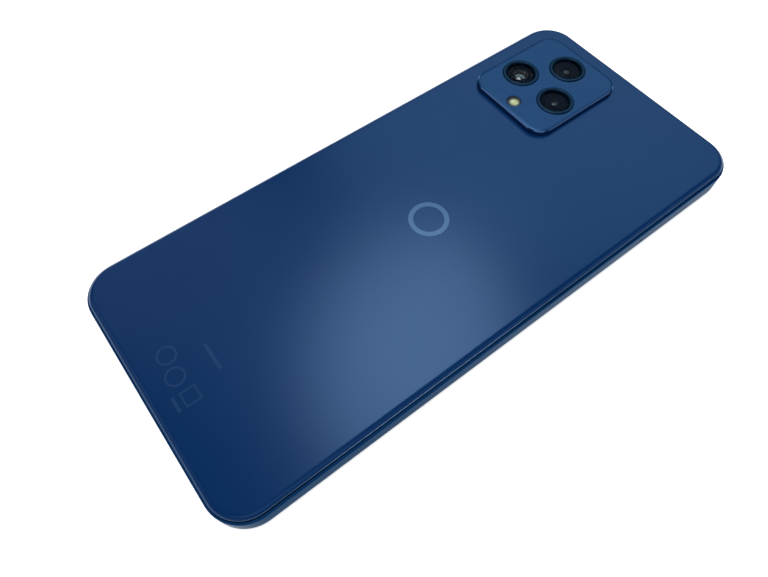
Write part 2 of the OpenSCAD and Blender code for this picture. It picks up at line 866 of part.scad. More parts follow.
module sim_tray() {
    carrier_x1 = hx - tray_face_t + eps;
    z0 = tray_z - tray_t / 2;
    z1 = tray_z + tray_t / 2;
    sim_x = hx - wall_t - 1.2 - sim_d / 2;
    memory_x = sim_x - sim_d / 2 - card_gap - memory_d / 2;
    color([0.16, 0.27, 0.43]) difference() {
        union() {
            side_slot(tray_face_y, tray_z, tray_face_len, tray_face_h, hx - tray_face_t, hx - 0.02);
            span([tray_in_x, tray_y - tray_w / 2, z0], [carrier_x1, tray_y + tray_w / 2, z1]);
        }
        translate([hx - tray_face_t - over, pin_y, tray_z]) rotate([0, 90, 0])
            cylinder(r = pin_hole_r, h = tray_face_t + 2 * over);
        // groove of the seal round the carrier's neck
        difference() {
            span([hx - wall_t, tray_y - tray_w, z0 - over],
                [hx - wall_t + seal_t, tray_y + tray_w, z1 + over]);
            span([hx - wall_t - over, tray_y - tray_w / 2 + seal_w, z0 + seal_sunk],
                [hx, tray_y + tray_w / 2 - seal_w, z1 - seal_sunk]);
        }
        // pockets of the two cards, with a smaller window through the floor
        block(sim_x, tray_y, z0 + card_floor_t, [sim_d, sim_w, 2]);
        block(sim_x, tray_y, z0 - over, [sim_d - 2 * card_rest, sim_w - 2 * card_rest, 4]);
        block(memory_x, tray_y, z0 + card_floor_t, [memory_d, memory_w, 2]);
        block(memory_x, tray_y, z0 - over, [memory_d - 2 * card_rest, memory_w - 2 * card_rest, 4]);
    }
}

module sim_tray_seal() {
    z0 = tray_z - tray_t / 2;
    z1 = tray_z + tray_t / 2;
    x0 = hx - wall_t + slip;
    x1 = hx - wall_t + seal_t - slip;
    half_y = tray_w / 2;
    color([0.07, 0.07, 0.07]) difference() {
        span([x0, tray_y - half_y - seal_proud, z0 - seal_proud],
            [x1, tray_y + half_y + seal_proud, z1 + seal_proud]);
        span([x0 - over, tray_y - half_y + seal_w, z0 + seal_sunk],
            [x1 + over, tray_y + half_y - seal_w, z1 - seal_sunk]);
    }
}

// Sheet-metal shell under the main board that guides the tray, the rod and the lever
module sim_reader() {
    x0 = lever_x - reader_back;
    x1 = hx - wall_t - 0.3;
    y0 = pin_y - rod_w / 2 - reader_gap - reader_wall;
    y1 = tray_y + tray_w / 2 + reader_gap + reader_wall;
    z0 = tray_z - tray_t / 2 - 0.15;
    color([0.74, 0.75, 0.77]) {
        difference() {
            span([x0, y0, z0], [x1, y1, z_board]);
            span([x0 + reader_wall, y0 + reader_wall, z0 - over],
                [x1 + over, y1 - reader_wall, z_board - reader_wall]);
        }
        // pivot of the lever
        post([lever_x, lever_y], pivot_r, z0, z_board - reader_wall + eps);
    }
}

module eject_rod() {
    x1 = hx - wall_t - 0.5;
    x0 = lever_x + lever_w / 2 + rod_gap;
    color([0.8, 0.8, 0.82]) block((x0 + x1) / 2, pin_y, tray_z - rod_h / 2, [x1 - x0, rod_w, rod_h]);
}

module eject_lever() {
    color([0.8, 0.8, 0.82]) difference() {
        union() {
            span([lever_x - lever_w / 2, pin_y - rod_w / 2 + fit_gap, tray_z - lever_t / 2],
                [lever_x + lever_w / 2, lever_y + lever_long, tray_z + lever_t / 2]);
            post([lever_x, lever_y], lever_boss_r, tray_z - lever_t / 2, tray_z + lever_t / 2);
        }
        post([lever_x, lever_y], pivot_r + pivot_fit, tray_z - over, tray_z + over);
    }
}

// ---------------------------------------------------------------- keys

module key(y, l, proud, flange_x) {
    x1 = flange_x + key_flange_t;
    side_slot(y, z_keys, l, key_h, -hx - proud, flange_x + eps);
    side_slot(y, z_keys, l + 2 * key_flange_over, key_h + 2 * key_flange_over, flange_x, x1);
}

module nub(y, x0) {
    block((x0 + nub_tip_x) / 2, y, z_keys - nub_w / 2, [nub_tip_x - x0, nub_w, nub_w]);
}

touch_len = power_len - 3;
touch_h = key_h - 0.8;
touch_depth = 0.35;

module power_key() {
    x1 = key_flange_x + key_flange_t;
    color([0.14, 0.25, 0.41]) difference() {
        union() {
            key(power_y, power_len, 0.05, key_flange_x);
            nub(power_y, x1 - eps);
        }
        side_slot(power_y, z_keys, touch_len, touch_h, -hx - over, -hx + touch_depth);
    }
}

module fingerprint_sensor() {
    color([0.06, 0.1, 0.18])
        side_slot(power_y, z_keys, touch_len - slip, touch_h - slip, -hx - 0.02, -hx + touch_depth - slip);
}

module volume_rocker() {
    x1 = rocker_flange_x + key_flange_t;
    color([0.14, 0.25, 0.41]) {
        key(volume_y, volume_len, key_proud, rocker_flange_x);
        for (side = [-1, 1]) nub(volume_y + side * volume_nub_pitch / 2, x1 - eps);
    }
}

module key_switches() {
    color([0.75, 0.76, 0.78])
        for (y = [power_y, volume_y - volume_nub_pitch / 2, volume_y + volume_nub_pitch / 2])
            block(switch_x + switch_t / 2, y, z_keys - 1.3, [switch_t, 3.4, 2.6]);
}

module key_strip(x, t, h) {
    y0 = power_y - power_len / 2 + key_flex_end;
    y1 = volume_y + volume_len / 2;
    span([x, y0, z_keys - h / 2], [x + t, y1, z_keys + h / 2]);
}

module key_flex() {
    color([0.75, 0.45, 0.15]) key_strip(key_flex_x, key_flex_t, key_flex_h);
}

module key_bracket() {
    color([0.7, 0.71, 0.73]) key_strip(key_flex_x + key_flex_t, bracket_t, key_flex_h);
}

// ---------------------------------------------------------------- boards and battery

module main_board() {
    color([0.05, 0.25, 0.18]) difference() {
        union() {
            span([board_key_x, board_bottom_y, z_board], [board_x, board_step_y, board_top]);
            span([board_left_x, board_step_y - eps, z_board], [board_x, board_top_y, board_top]);
        }
        for (p = TOP_SCREWS) post(p, screw_r + slot_fit, z_board - over, board_top + over);
    }
}

module can(x0, y0, x1, y1) {
    difference() {
        span([x0, y0, board_top], [x1, y1, z_can]);
        span([x0 + can_t, y0 + can_t, board_top - over], [x1 - can_t, y1 - can_t, z_can - can_t]);
    }
}

module shield_cans() {
    y0 = board_bottom_y + 0.8;
    color([0.78, 0.79, 0.8]) {
        can(board_key_x + 5.2, y0, board_left_x + 1.6, board_step_y - 0.8);
        can(board_left_x + 7.2, y0, board_x - 5.2, board_step_y - 1.4);
        can(board_left_x + 1.2, board_step_y + 0.4, board_x - 1, board_top_y - 6);
    }
}

module processor() {
    color([0.1, 0.1, 0.11])
        block((board_left_x + board_x) / 2, (board_step_y + board_top_y) / 2 - 4, board_top, [13, 13, 0.8]);
}

module sub_board() {
    color([0.05, 0.25, 0.18]) difference() {
        inside(board_fit) span([-board_x, -hy, z_sub], [sub_right_x, sub_top_y, sub_top]);
        // notch of the charging socket
        block(0, sub_bottom_y, z_sub - over,
            [usb_w + 2 * (usb_wall + slot_fit), 2 * (usb_len - wall_t - slot_fit), board_t + 2 * over]);
        // notch of the headphone socket
        block(jack_x, sub_bottom_y, z_sub - over,
            [jack_w + 0.6, 2 * (jack_len + slot_fit), board_t + 2 * over]);
        // opening round the motor
        post([motor_x, motor_y], motor_r + 0.3, z_sub - over, sub_top + over);
        for (p = BOTTOM_SCREWS) post(p, screw_r + slot_fit, z_sub - over, sub_top + over);
    }
}

module battery() {
    color([0.2, 0.21, 0.23]) block(0, battery_y, battery_z, [battery_w, battery_len, battery_t]);
}

module battery_adhesive() {
    color([0.9, 0.9, 0.9]) for (side = [-1, 1])
        block(side * battery_w / 4, battery_y, z_floor, [12, battery_len - 12, 0.1]);
}

// Flat strip over the battery that joins the two boards
module main_flex() {
    flex_w = 10;
    z_top = battery_z + battery_t + 0.15;
    z_low = sub_top + slip;
    z_high = board_top + slip;
    y0 = sub_top_y - 5;
    y1 = board_bottom_y + 0.4;
    edge0 = sub_top_y + 0.6;
    edge1 = board_bottom_y - 0.7;
    color([0.8, 0.5, 0.15]) translate([-flex_w / 2 - 6, 0, 0]) rotate([90, 0, 90]) linear_extrude(flex_w)
        polygon([
            [y0, z_low], [edge0, z_low], [edge0, z_top], [edge1, z_top],
            [edge1, z_high], [y1, z_high], [y1, z_high + flex_t], [edge1 + flex_t, z_high + flex_t],
            [edge1 + flex_t, z_top + flex_t], [edge0 - flex_t, z_top + flex_t],
            [edge0 - flex_t, z_low + flex_t], [y0, z_low + flex_t]
        ]);
}

// Strip from the display's lower edge through the mid plate
module display_flex() {
    z1 = z_floor + 0.6;
    color([0.8, 0.5, 0.15]) {
        block(display_flex_x, display_flex_y, z_backlight + backlight_t,
            [display_flex_w, flex_t, z1 - z_plate + fit_gap]);
        block(display_flex_x, display_flex_y + 3, z1 - flex_t, [display_flex_w, 6, flex_t]);
    }
}

// Aerial lead past the battery, with a plug on each board
module coax_cable() {
    r = 0.4;
    x0 = sub_right_x - 6;
    x1 = max(battery_w / 2 + 0.4 + r, board_x - 1.4);
    y0 = sub_top_y + 0.5;
    y1 = board_bottom_y + 1.6;
    z = board_top + 0.9;
    color([0.1, 0.1, 0.1]) {
        translate([x1, y1, z]) rotate([90, 0, 0]) cylinder(r = r, h = y1 - y0);
        translate([x1, y0, z]) sphere(r);
        translate([x0, y0, z]) rotate([0, 90, 0]) cylinder(r = r, h = x1 - x0);
        translate([x0, y0, z]) sphere(r);
        translate([x0, y0, z]) rotate([90, 0, 0]) cylinder(r = r, h = 2);
        post([x0, y0 - 2.4], 0.9, sub_top, z + r);
        post([x1, y1 + 0.2], 0.9, board_top, z + r);
    }
}

// ---------------------------------------------------------------- motor

module motor_can() {
    color([0.7, 0.7, 0.72]) {
        difference() {
            post([motor_x, motor_y], motor_r, z_floor, z_floor + motor_h);
            post([motor_x, motor_y], motor_r - motor_wall, z_floor + motor_wall,
                z_floor + motor_h - motor_wall);
        }
        post([motor_x, motor_y], motor_pin_r, z_floor, z_floor + motor_h);
    }
}

module motor_rotor() {
    h = motor_h - 2 * rotor_gap;
    color([0.55, 0.55, 0.6]) translate([motor_x, motor_y, z_floor + rotor_gap]) difference() {
        union() {
            cylinder(r = rotor_hub_r, h = h);
            // half-round weight
            rotate([0, 0, 90]) rotate_extrude(angle = 180) translate([rotor_hub_r - 0.1, 0])
                square([rotor_r - rotor_hub_r + 0.1, h]);
        }
        translate([0, 0, -over]) cylinder(r = motor_pin_r + rotor_fit, h = motor_h);
    }
}

// ---------------------------------------------------------------- brackets, antenna and screws

module top_bracket() {
    color([0.15, 0.15, 0.16]) difference() {
        union() {
            span([board_key_x, board_bottom_y, z_bracket], [board_x, board_step_y, z_bracket_top]);
            span([board_left_x, board_step_y - eps, z_bracket], [board_x, board_top_y, z_bracket_top]);
            for (p = TOP_SCREWS) post(p, post_r, board_top, z_bracket + eps);
        }
        for (p = TOP_SCREWS) post(p, screw_r + slot_fit, board_top - over, z_bracket + 2 * over);
    }
}

module bottom_bracket() {
    color([0.15, 0.15, 0.16]) difference() {
        union() {
            inside(board_fit) span([-board_x, -hy, z_bracket],
                [board_x, sub_top_y, z_bracket_top]);
            for (p = BOTTOM_SCREWS) post(p, post_r, sub_top, z_bracket + eps);
        }
        // opening over the headphone socket
        block(jack_x, -hy, z_bracket - over,
            [jack_w + 1.6, 2 * (wall_t + jack_len + 0.5), bracket_plate_t + 2 * over]);
        for (p = BOTTOM_SCREWS) post(p, screw_r + slot_fit, sub_top - over, z_bracket + 2 * over);
    }
}

antenna_r = 3;
antenna_w = 2.4;
antenna_t = 0.15;

module nfc_antenna() {
    x0 = board_left_x + 3;
    y0 = board_step_y + 3;
    color([0.7, 0.45, 0.2]) translate([(x0 + board_x) / 2, (y0 + board_top_y) / 2 - 1, 0])
        flat_ring(board_x - x0 - 6, board_top_y - y0 - 8, antenna_r, antenna_w, z_bracket_top,
            z_bracket_top + antenna_t);
}

module screw(p, z_seat, z_end) {
    post(p, head_r, z_seat, z_seat + head_t);
    post(p, screw_r, z_end, z_seat);
}

module screws() {
    color([0.6, 0.6, 0.62]) {
        for (p = TOP_SCREWS) screw(p, z_bracket_top, z_board - screw_bite);
        for (p = BOTTOM_SCREWS) screw(p, z_bracket_top, z_sub - screw_bite);
    }
}

// ---------------------------------------------------------------- pieces

cover_glass();
display_panel();
backlight();
display_adhesive();
side_frame();
mid_plate();
rear_cover();
rear_cover_adhesive();
camera_deck();
camera_deck_adhesive();
lens_ring_1();
lens_ring_2();
lens_ring_3();
lens_window_1();
lens_window_2();
lens_window_3();
flash_window();
flash_led();
flash_board();
main_camera();
main_lens_barrel();
image_sensor();
wide_camera();
macro_camera();
front_camera();
earpiece();
earpiece_mesh();
loudspeaker();
loudspeaker_mesh();
microphone();
usb_shell();
usb_tongue();
headphone_socket();
sim_tray();
sim_tray_seal();
sim_reader();
eject_rod();
eject_lever();
power_key();
fingerprint_sensor();
volume_rocker();
key_switches();
key_flex();
key_bracket();
main_board();
shield_cans();
processor();
sub_board();
battery();
battery_adhesive();
main_flex();
display_flex();
coax_cable();
motor_can();
motor_rotor();
top_bracket();
bottom_bracket();
nfc_antenna();
screws();
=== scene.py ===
import json
import math

import bmesh
import bpy
from bpy.props import FloatProperty, FloatVectorProperty, IntProperty, PointerProperty
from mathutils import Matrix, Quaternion, Vector

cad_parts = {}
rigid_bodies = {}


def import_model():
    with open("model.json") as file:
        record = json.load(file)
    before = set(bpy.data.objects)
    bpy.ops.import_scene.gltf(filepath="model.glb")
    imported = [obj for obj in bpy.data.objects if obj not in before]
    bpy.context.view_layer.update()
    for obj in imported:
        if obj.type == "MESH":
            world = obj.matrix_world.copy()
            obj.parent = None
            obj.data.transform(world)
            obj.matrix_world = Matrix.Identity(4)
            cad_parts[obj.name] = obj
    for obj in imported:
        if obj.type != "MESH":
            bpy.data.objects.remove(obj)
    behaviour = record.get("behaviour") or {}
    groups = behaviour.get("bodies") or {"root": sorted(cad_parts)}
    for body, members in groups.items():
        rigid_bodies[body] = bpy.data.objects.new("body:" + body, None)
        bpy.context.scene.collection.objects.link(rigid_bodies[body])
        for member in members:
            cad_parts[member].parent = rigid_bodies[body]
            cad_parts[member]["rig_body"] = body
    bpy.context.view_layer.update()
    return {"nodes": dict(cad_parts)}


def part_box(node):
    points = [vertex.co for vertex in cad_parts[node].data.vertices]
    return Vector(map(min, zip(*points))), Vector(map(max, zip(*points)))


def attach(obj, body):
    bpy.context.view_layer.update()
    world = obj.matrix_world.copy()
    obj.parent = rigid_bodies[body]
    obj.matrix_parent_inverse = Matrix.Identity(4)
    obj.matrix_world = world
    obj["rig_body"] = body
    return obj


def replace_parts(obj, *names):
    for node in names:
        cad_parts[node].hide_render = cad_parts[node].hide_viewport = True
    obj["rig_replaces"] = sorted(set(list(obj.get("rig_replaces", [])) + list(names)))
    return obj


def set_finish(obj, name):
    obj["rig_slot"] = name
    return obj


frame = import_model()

bl_info = {
    "name": "Smartphone looks",
    "version": (1, 0, 0),
    "blender": (4, 5, 0),
    "location": "View3D > Sidebar > Phone",
    "description": "Finished surfaces, glass and camera island for a large smartphone",
    "category": "Object",
}

MM = 0.001
NODES = frame["nodes"]
CHASSIS = "chassis"
# How close two places are taken as the same, and how close doubled corners are merged
CLOSE = 0.001 * MM
MERGE = 0.0001 * MM
# How far a cutter runs past the piece it cuts
PAST = 1 * MM
# Flat ring left inside a shaped edge, so that the flat beyond it shades level
LEVEL_RING = 0.2 * MM
# What each blue finish keeps of its mirroring at a glancing look
BACK_TINT = (0.6, 0.84, 1.0, 1)
ISLAND_TINT = (0.62, 0.87, 1, 1)
RING_TINT = (0.5, 0.8, 1, 1)
SIDE_TINT = (0.35, 0.43, 0.52, 1)
# Side of the floor, and how far it lies under the glass, so that the two don't meet
FLOOR_SIZE = 6
FLOOR_GAP = 0.02 * MM
WHITE = (1, 1, 1)
# Each light's name, power setting, place, aim, width and height, and colour
LIGHTS = (
    ("soft_box", "box_power", (-0.15, 0.15, 0.62), (0.02, -0.02, 0.009), (0.27, 0.33), (0.97, 0.96, 0.87)),
    ("back_light", "back_power", (-0.47, 0.72, 0.84), (0, 0, 0.009), (1.05, 0.6), (0.7, 0.96, 1.0)),
    ("side_light", "side_power", (-0.73, -0.03, 0.82), (0, 0, 0.009), (0.5, 0.6), WHITE),
    ("top_light", "top_power", (0.12, -0.2, 2.0), (0, 0, 0), (0.6, 0.6), WHITE),
    ("edge_light", "edge_power", (0.82, 0.45, 0.34), (0.03, 0, 0.009), (1.1, 0.25), WHITE),
    ("end_light", "end_power", (-0.46, -0.64, 0.58), (-0.017, 0.043, 0.01), (0.6, 0.25), WHITE),
    ("corner_light", "corner_power", (0.574, -0.327, 0.666), (-0.003, 0.045, 0.01), (1.05, 0.3), WHITE),
)


# ---------------------------------------------------------------- selecting and shaping

def place(node):
    """Centre, lowest corner and highest corner of a CAD node."""
    low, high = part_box(node)
    return (low + high) / 2, low, high


def alone(obj):
    """Leaves one piece selected and active."""
    bpy.ops.object.select_all(action="DESELECT")
    bpy.context.view_layer.objects.active = obj
    obj.select_set(True)


def start(obj):
    """Selects one piece alone and opens it for editing with nothing picked."""
    if bpy.context.mode != "OBJECT":
        stop()
    alone(obj)
    bpy.ops.object.mode_set(mode="EDIT")
    bpy.ops.mesh.select_mode(type="FACE")
    bpy.ops.mesh.select_all(action="DESELECT")


def stop():
    bpy.ops.object.mode_set(mode="OBJECT")


def pick(obj, kind, test):
    """Picks the faces, edges or verts of the piece being edited that pass a test."""
    bpy.ops.mesh.select_mode(type={"faces": "FACE", "edges": "EDGE", "verts": "VERT"}[kind])
    bpy.ops.mesh.select_all(action="DESELECT")
    shape = bmesh.from_edit_mesh(obj.data)
    found = 0
    for part in getattr(shape, kind):
        if test(part):
            part.select_set(True)
            found += 1
    if not found:
        raise RuntimeError(f"{obj.name}: nothing to pick among its {kind}")
    shape.select_flush_mode()
    bmesh.update_edit_mesh(obj.data)


def added(name):
    """The primitive just added, named, alone in the selection."""
    obj = bpy.context.view_layer.objects.active
    obj.name = name
    obj.data.name = name
    return obj


def settle(obj):
    """Puts a piece's place, turn and size into its mesh."""
    alone(obj)
    bpy.ops.object.transform_apply(location=True, rotation=True, scale=True)


def rounded_block(name, centre, size, radius, segments):
    """Block with rounded upright edges, standing on centre's height."""
    bpy.ops.object.select_all(action="DESELECT")
    middle = (centre[0], centre[1], centre[2] + size[2] / 2)
    bpy.ops.mesh.primitive_cube_add(size=1, location=middle, scale=size)
    obj = added(name)
    settle(obj)
    start(obj)
    pick(obj, "edges", lambda e: abs(e.verts[0].co.z - e.verts[1].co.z) > size[2] / 2)
    bpy.ops.mesh.bevel(offset=radius, offset_type="OFFSET", segments=segments, affect="EDGES")
    stop()
    return obj


def step_faces(obj, direction, steps):
    """Insets the end face again and again; each step is (how far in, how far out of the face)."""
    start(obj)
    shape = bmesh.from_edit_mesh(obj.data)
    end = max(f.calc_center_median().z * direction for f in shape.faces)
    pick(obj, "faces", lambda f: abs(f.calc_center_median().z * direction - end) < CLOSE
         and f.normal.z * direction > 0.9)
    for inward, outward in steps:
        bpy.ops.mesh.inset(thickness=inward, depth=outward, use_even_offset=True)
    stop()


def arc_steps(radius, run, count):
    """Steps of an arc that ends level, from run out to the flat."""
    first = math.asin(run / radius)
    angles = [first * (1 - k / count) for k in range(count + 1)]
    return [(radius * (math.sin(a) - math.sin(b)), radius * (math.cos(b) - math.cos(a)))
            for a, b in zip(angles, angles[1:])]


def turned(name, centre, outline, closed=False, steps=96):
    """Solid turned about an upright axis from its outline of (radius, height) corners."""
    bpy.ops.object.select_all(action="DESELECT")
    bpy.ops.mesh.primitive_plane_add(size=MM, location=(0, 0, 0))
    obj = added(name)
    start(obj)
    bpy.ops.mesh.select_mode(type="VERT")
    bpy.ops.mesh.select_all(action="SELECT")
    bpy.ops.mesh.merge(type="CENTER")
    bpy.ops.mesh.select_all(action="SELECT")
    last = outline[0]
    bpy.ops.transform.translate(value=(last[0], 0, last[1]))
    for corner in outline[1:]:
        move = (corner[0] - last[0], 0, corner[1] - last[1])
        bpy.ops.mesh.extrude_region_move(TRANSFORM_OT_translate={"value": move})
        last = corner
    if closed:
        ends = [Vector((p[0], 0, p[1])) for p in (outline[0], outline[-1])]
        pick(obj, "verts", lambda v: min((v.co - e).length for e in ends) < CLOSE)
        bpy.ops.mesh.edge_face_add()
    bpy.ops.mesh.select_all(action="SELECT")
    bpy.ops.mesh.spin(steps=steps, angle=math.tau, center=(0, 0, 0), axis=(0, 0, 1))
    bpy.ops.mesh.select_all(action="SELECT")
    bpy.ops.mesh.remove_doubles(threshold=MERGE)
    bpy.ops.mesh.normals_make_consistent(inside=False)
    bpy.ops.transform.translate(value=centre)
    stop()
    return obj


def cut(obj, tool):
    """Takes one solid out of another and removes the cutter."""
    change = obj.modifiers.new("Cut", "BOOLEAN")
    change.operation = "DIFFERENCE"
    change.solver = "EXACT"
    change.object = tool
    alone(obj)
    bpy.ops.object.modifier_apply(modifier=change.name)
    bpy.data.objects.remove(tool)


def finish_piece(obj, nodes, slot, finish, angle=32, body=CHASSIS):
    """Shades, paints and fastens a piece that stands for CAD nodes."""
    if bpy.context.mode != "OBJECT":
        stop()
    alone(obj)
    bpy.ops.object.shade_smooth_by_angle(angle=math.radians(angle))
    obj.data.materials.clear()
    obj.data.materials.append(finish)
    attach(obj, body)
    if nodes:
        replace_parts(obj, *nodes)
    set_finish(obj, slot)


# ---------------------------------------------------------------- shader building

def linear(rgb):
    """Scene colour of a screen colour given from 0 to 255."""
    out = []
    for c in rgb:
        c = c / 255
        out.append(c / 12.92 if c <= 0.04045 else ((c + 0.055) / 1.055) ** 2.4)
    return (*out, 1.0)


def put(tree, kind, values=None, **settings):
    """Adds a node; values are numbers or the output sockets to link."""
    made = tree.nodes.new(kind)
    for key, value in settings.items():
        setattr(made, key, value)
    for key, value in (values or {}).items():
        socket = made.inputs[key]
        if isinstance(value, bpy.types.NodeSocket):
            tree.links.new(value, socket)
        else:
            socket.default_value = value
    return made


def maths(tree, operation, a, b=0.0):
    return put(tree, "ShaderNodeMath", {0: a, 1: b}, operation=operation).outputs[0]


def blend_colours(tree, factor, a, b):
    """Colour a where the factor is 0, and colour b where it is 1."""
    made = put(tree, "ShaderNodeMix", data_type="RGBA")
    for socket, value in ((made.inputs[0], factor), (made.inputs[6], a), (made.inputs[7], b)):
        if isinstance(value, bpy.types.NodeSocket):
            tree.links.new(value, socket)
        else:
            socket.default_value = value
    return made.outputs[2]


def ramp(tree, value, low, high, out_low=0.0, out_high=1.0):
    """Value eased from low to high."""
    made = put(tree, "ShaderNodeMapRange", {0: value, 1: low, 2: high, 3: out_low, 4: out_high},
               interpolation_type="SMOOTHSTEP")
    return made.outputs[0]


def new_group(name, inputs, outputs):
    """Empty node group with named sockets, and its input and output nodes."""
    group = bpy.data.node_groups.new(name, "ShaderNodeTree")
    for label, kind, value in inputs:
        socket = group.interface.new_socket(label, in_out="INPUT", socket_type=kind)
        socket.default_value = value
    for label, kind in outputs:
        group.interface.new_socket(label, in_out="OUTPUT", socket_type=kind)
    return group, group.nodes.new("NodeGroupInput"), group.nodes.new("NodeGroupOutput")


def finish_group():
    """Soft colour drift, fine grain and a roughness that varies with both."""
    if "Surface finish" in bpy.data.node_groups:
        return bpy.data.node_groups["Surface finish"]
    group, src, dst = new_group(
        "Surface finish",
        [("Colour", "NodeSocketColor", (0.5, 0.5, 0.5, 1)),
         ("Second Colour", "NodeSocketColor", (0.5, 0.5, 0.5, 1)),
         ("Drift Scale", "NodeSocketFloat", 30.0), ("Grain Scale", "NodeSocketFloat", 4000.0),
         ("Grain Amount", "NodeSocketFloat", 0.05), ("Smooth", "NodeSocketFloat", 0.3),
         ("Rough", "NodeSocketFloat", 0.4), ("Stretch", "NodeSocketVector", (1, 1, 1))],
        [("Colour", "NodeSocketColor"), ("Roughness", "NodeSocketFloat"), ("Height", "NodeSocketFloat")])
    where = object_place(group)
    drawn = put(group, "ShaderNodeVectorMath", {0: where, 1: src.outputs["Stretch"]},
                operation="MULTIPLY").outputs[0]
    drift = put(group, "ShaderNodeTexNoise",
                {"Vector": where, "Scale": src.outputs["Drift Scale"], "Detail": 3.0, "Roughness": 0.55})
    grain = put(group, "ShaderNodeTexNoise",
                {"Vector": drawn, "Scale": src.outputs["Grain Scale"], "Detail": 2.0, "Roughness": 0.6})
    soft = ramp(group, drift.outputs[0], 0.3, 0.7)
    base = blend_colours(group, soft, src.outputs["Colour"], src.outputs["Second Colour"])
    speck = maths(group, "SUBTRACT", grain.outputs[0], 0.5)
    level = maths(group, "ADD", maths(group, "MULTIPLY", speck, src.outputs["Grain Amount"]), 1.0)
    scaled = put(group, "ShaderNodeVectorMath", {0: base, 3: level}, operation="SCALE").outputs[0]
    both = maths(group, "ADD", maths(group, "MULTIPLY", soft, 0.6),
                 maths(group, "MULTIPLY", grain.outputs[0], 0.4))
    rough = put(group, "ShaderNodeMapRange",
                {0: both, 1: 0.1, 2: 0.9, 3: src.outputs["Smooth"], 4: src.outputs["Rough"]}).outputs[0]
    group.links.new(scaled, dst.inputs["Colour"])
    group.links.new(rough, dst.inputs["Roughness"])
    group.links.new(grain.outputs[0], dst.inputs["Height"])
    return group


def finish_material(name, colour, second, smooth=0.3, rough=0.4, metallic=0.0, coat=0.0,
                    coat_rough=0.1, grain=4000.0, amount=0.06, bump=0.05, drift=30.0,
                    stretch=(1, 1, 1), specular=0.5, depth=0.02 * MM, glancing=(1, 1, 1, 1)):
    """Material whose colour, roughness and relief come from the shared finish group.

    Smooth and rough are the ends of its roughness. Grain and drift are the scales of its fine
    and broad unevenness, and amount is how much the grain changes its colour.
    """
    made = bpy.data.materials.new(name)
    made.use_nodes = True
    tree = made.node_tree
    shader = tree.nodes["Principled BSDF"]
    group = put(tree, "ShaderNodeGroup", node_tree=finish_group())
    group.inputs["Colour"].default_value = linear(colour)
    group.inputs["Second Colour"].default_value = linear(second)
    for label, value in (("Drift Scale", drift), ("Grain Scale", grain), ("Grain Amount", amount),
                         ("Smooth", smooth), ("Rough", rough), ("Stretch", stretch)):
        group.inputs[label].default_value = value
    tree.links.new(group.outputs["Colour"], shader.inputs["Base Color"])
    tree.links.new(group.outputs["Roughness"], shader.inputs["Roughness"])
    relief = put(tree, "ShaderNodeBump",
                 {"Height": group.outputs["Height"], "Strength": bump, "Distance": depth})
    tree.links.new(relief.outputs[0], shader.inputs["Normal"])
    shader.inputs["Metallic"].default_value = metallic
    shader.inputs["Coat Weight"].default_value = coat
    shader.inputs["Coat Roughness"].default_value = coat_rough
    shader.inputs["Specular IOR Level"].default_value = specular
    shader.inputs["Specular Tint"].default_value = glancing
    return made


def parts_of(made):
    """Node tree of a finish material, its shader and the paint colour that feeds it."""
    tree = made.node_tree
    shader = tree.nodes["Principled BSDF"]
    return tree, shader, shader.inputs["Base Color"].links[0].from_socket


def object_place(tree):
    """Place of the shaded point in the phone's frame, in metres."""
    return put(tree, "ShaderNodeTexCoord").outputs["Object"]


def marks_group():
    """Mask of the plain printed marks on the back: a ring, and faint small shapes near the bottom.

    Its places and sizes are in millimetres, so the shaded point's metres are scaled by 1000.
    """
    group, src, dst = new_group(
        "Printed marks",
        [("Ring Radius", "NodeSocketFloat", 4.9), ("Ring Width", "NodeSocketFloat", 1.35)],
        [("Emblem", "NodeSocketFloat"), ("Small Marks", "NodeSocketFloat")])
    where = object_place(group)
    scaled = put(group, "ShaderNodeVectorMath", {0: where, 3: 1000.0}, operation="SCALE").outputs[0]
    apart = put(group, "ShaderNodeSeparateXYZ", {0: scaled})
    x, y, z = apart.outputs
    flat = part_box("rear_cover")[1].z / MM
    back = ramp(group, z, flat - 0.3, flat - 0.1)

    def ring(cx, cy, radius, width, soft=0.12):
        dx = maths(group, "SUBTRACT", x, cx)
        dy = maths(group, "SUBTRACT", y, cy)
        far = maths(group, "SQRT", maths(group, "ADD", maths(group, "MULTIPLY", dx, dx),
                                         maths(group, "MULTIPLY", dy, dy)))
        off = maths(group, "ABSOLUTE", maths(group, "SUBTRACT", far, radius))
        edge = maths(group, "SUBTRACT", off, maths(group, "MULTIPLY", width, 0.5))
        return ramp(group, edge, -soft, soft, 1.0, 0.0)

    def bar(cx, cy, half_x, half_y, soft=0.12):
        dx = maths(group, "SUBTRACT", maths(group, "ABSOLUTE", maths(group, "SUBTRACT", x, cx)), half_x)
        dy = maths(group, "SUBTRACT", maths(group, "ABSOLUTE", maths(group, "SUBTRACT", y, cy)), half_y)
        return ramp(group, maths(group, "MAXIMUM", dx, dy), -soft, soft, 1.0, 0.0)

    def frame_outline(cx, cy, half, width):
        inner = maths(group, "SUBTRACT", 1.0, bar(cx, cy, half - width, half - width))
        return maths(group, "MULTIPLY", bar(cx, cy, half, half), inner)

    emblem = ring(0.5, -0.1, src.outputs["Ring Radius"], src.outputs["Ring Width"])
    small = bar(0.5, -66.5, 4.0, 0.45)
    for mark in (ring(-6.2, -75.2, 2.3, 0.5), ring(-0.2, -76.0, 2.3, 0.5),
                 frame_outline(6.1, -75.3, 2.1, 0.45), bar(6.1, -79.1, 2.1, 0.4)):
        small = maths(group, "MAXIMUM", small, mark)
    group.links.new(maths(group, "MULTIPLY", emblem, back), dst.inputs["Emblem"])
    group.links.new(maths(group, "MULTIPLY", small, back), dst.inputs["Small Marks"])
    return group


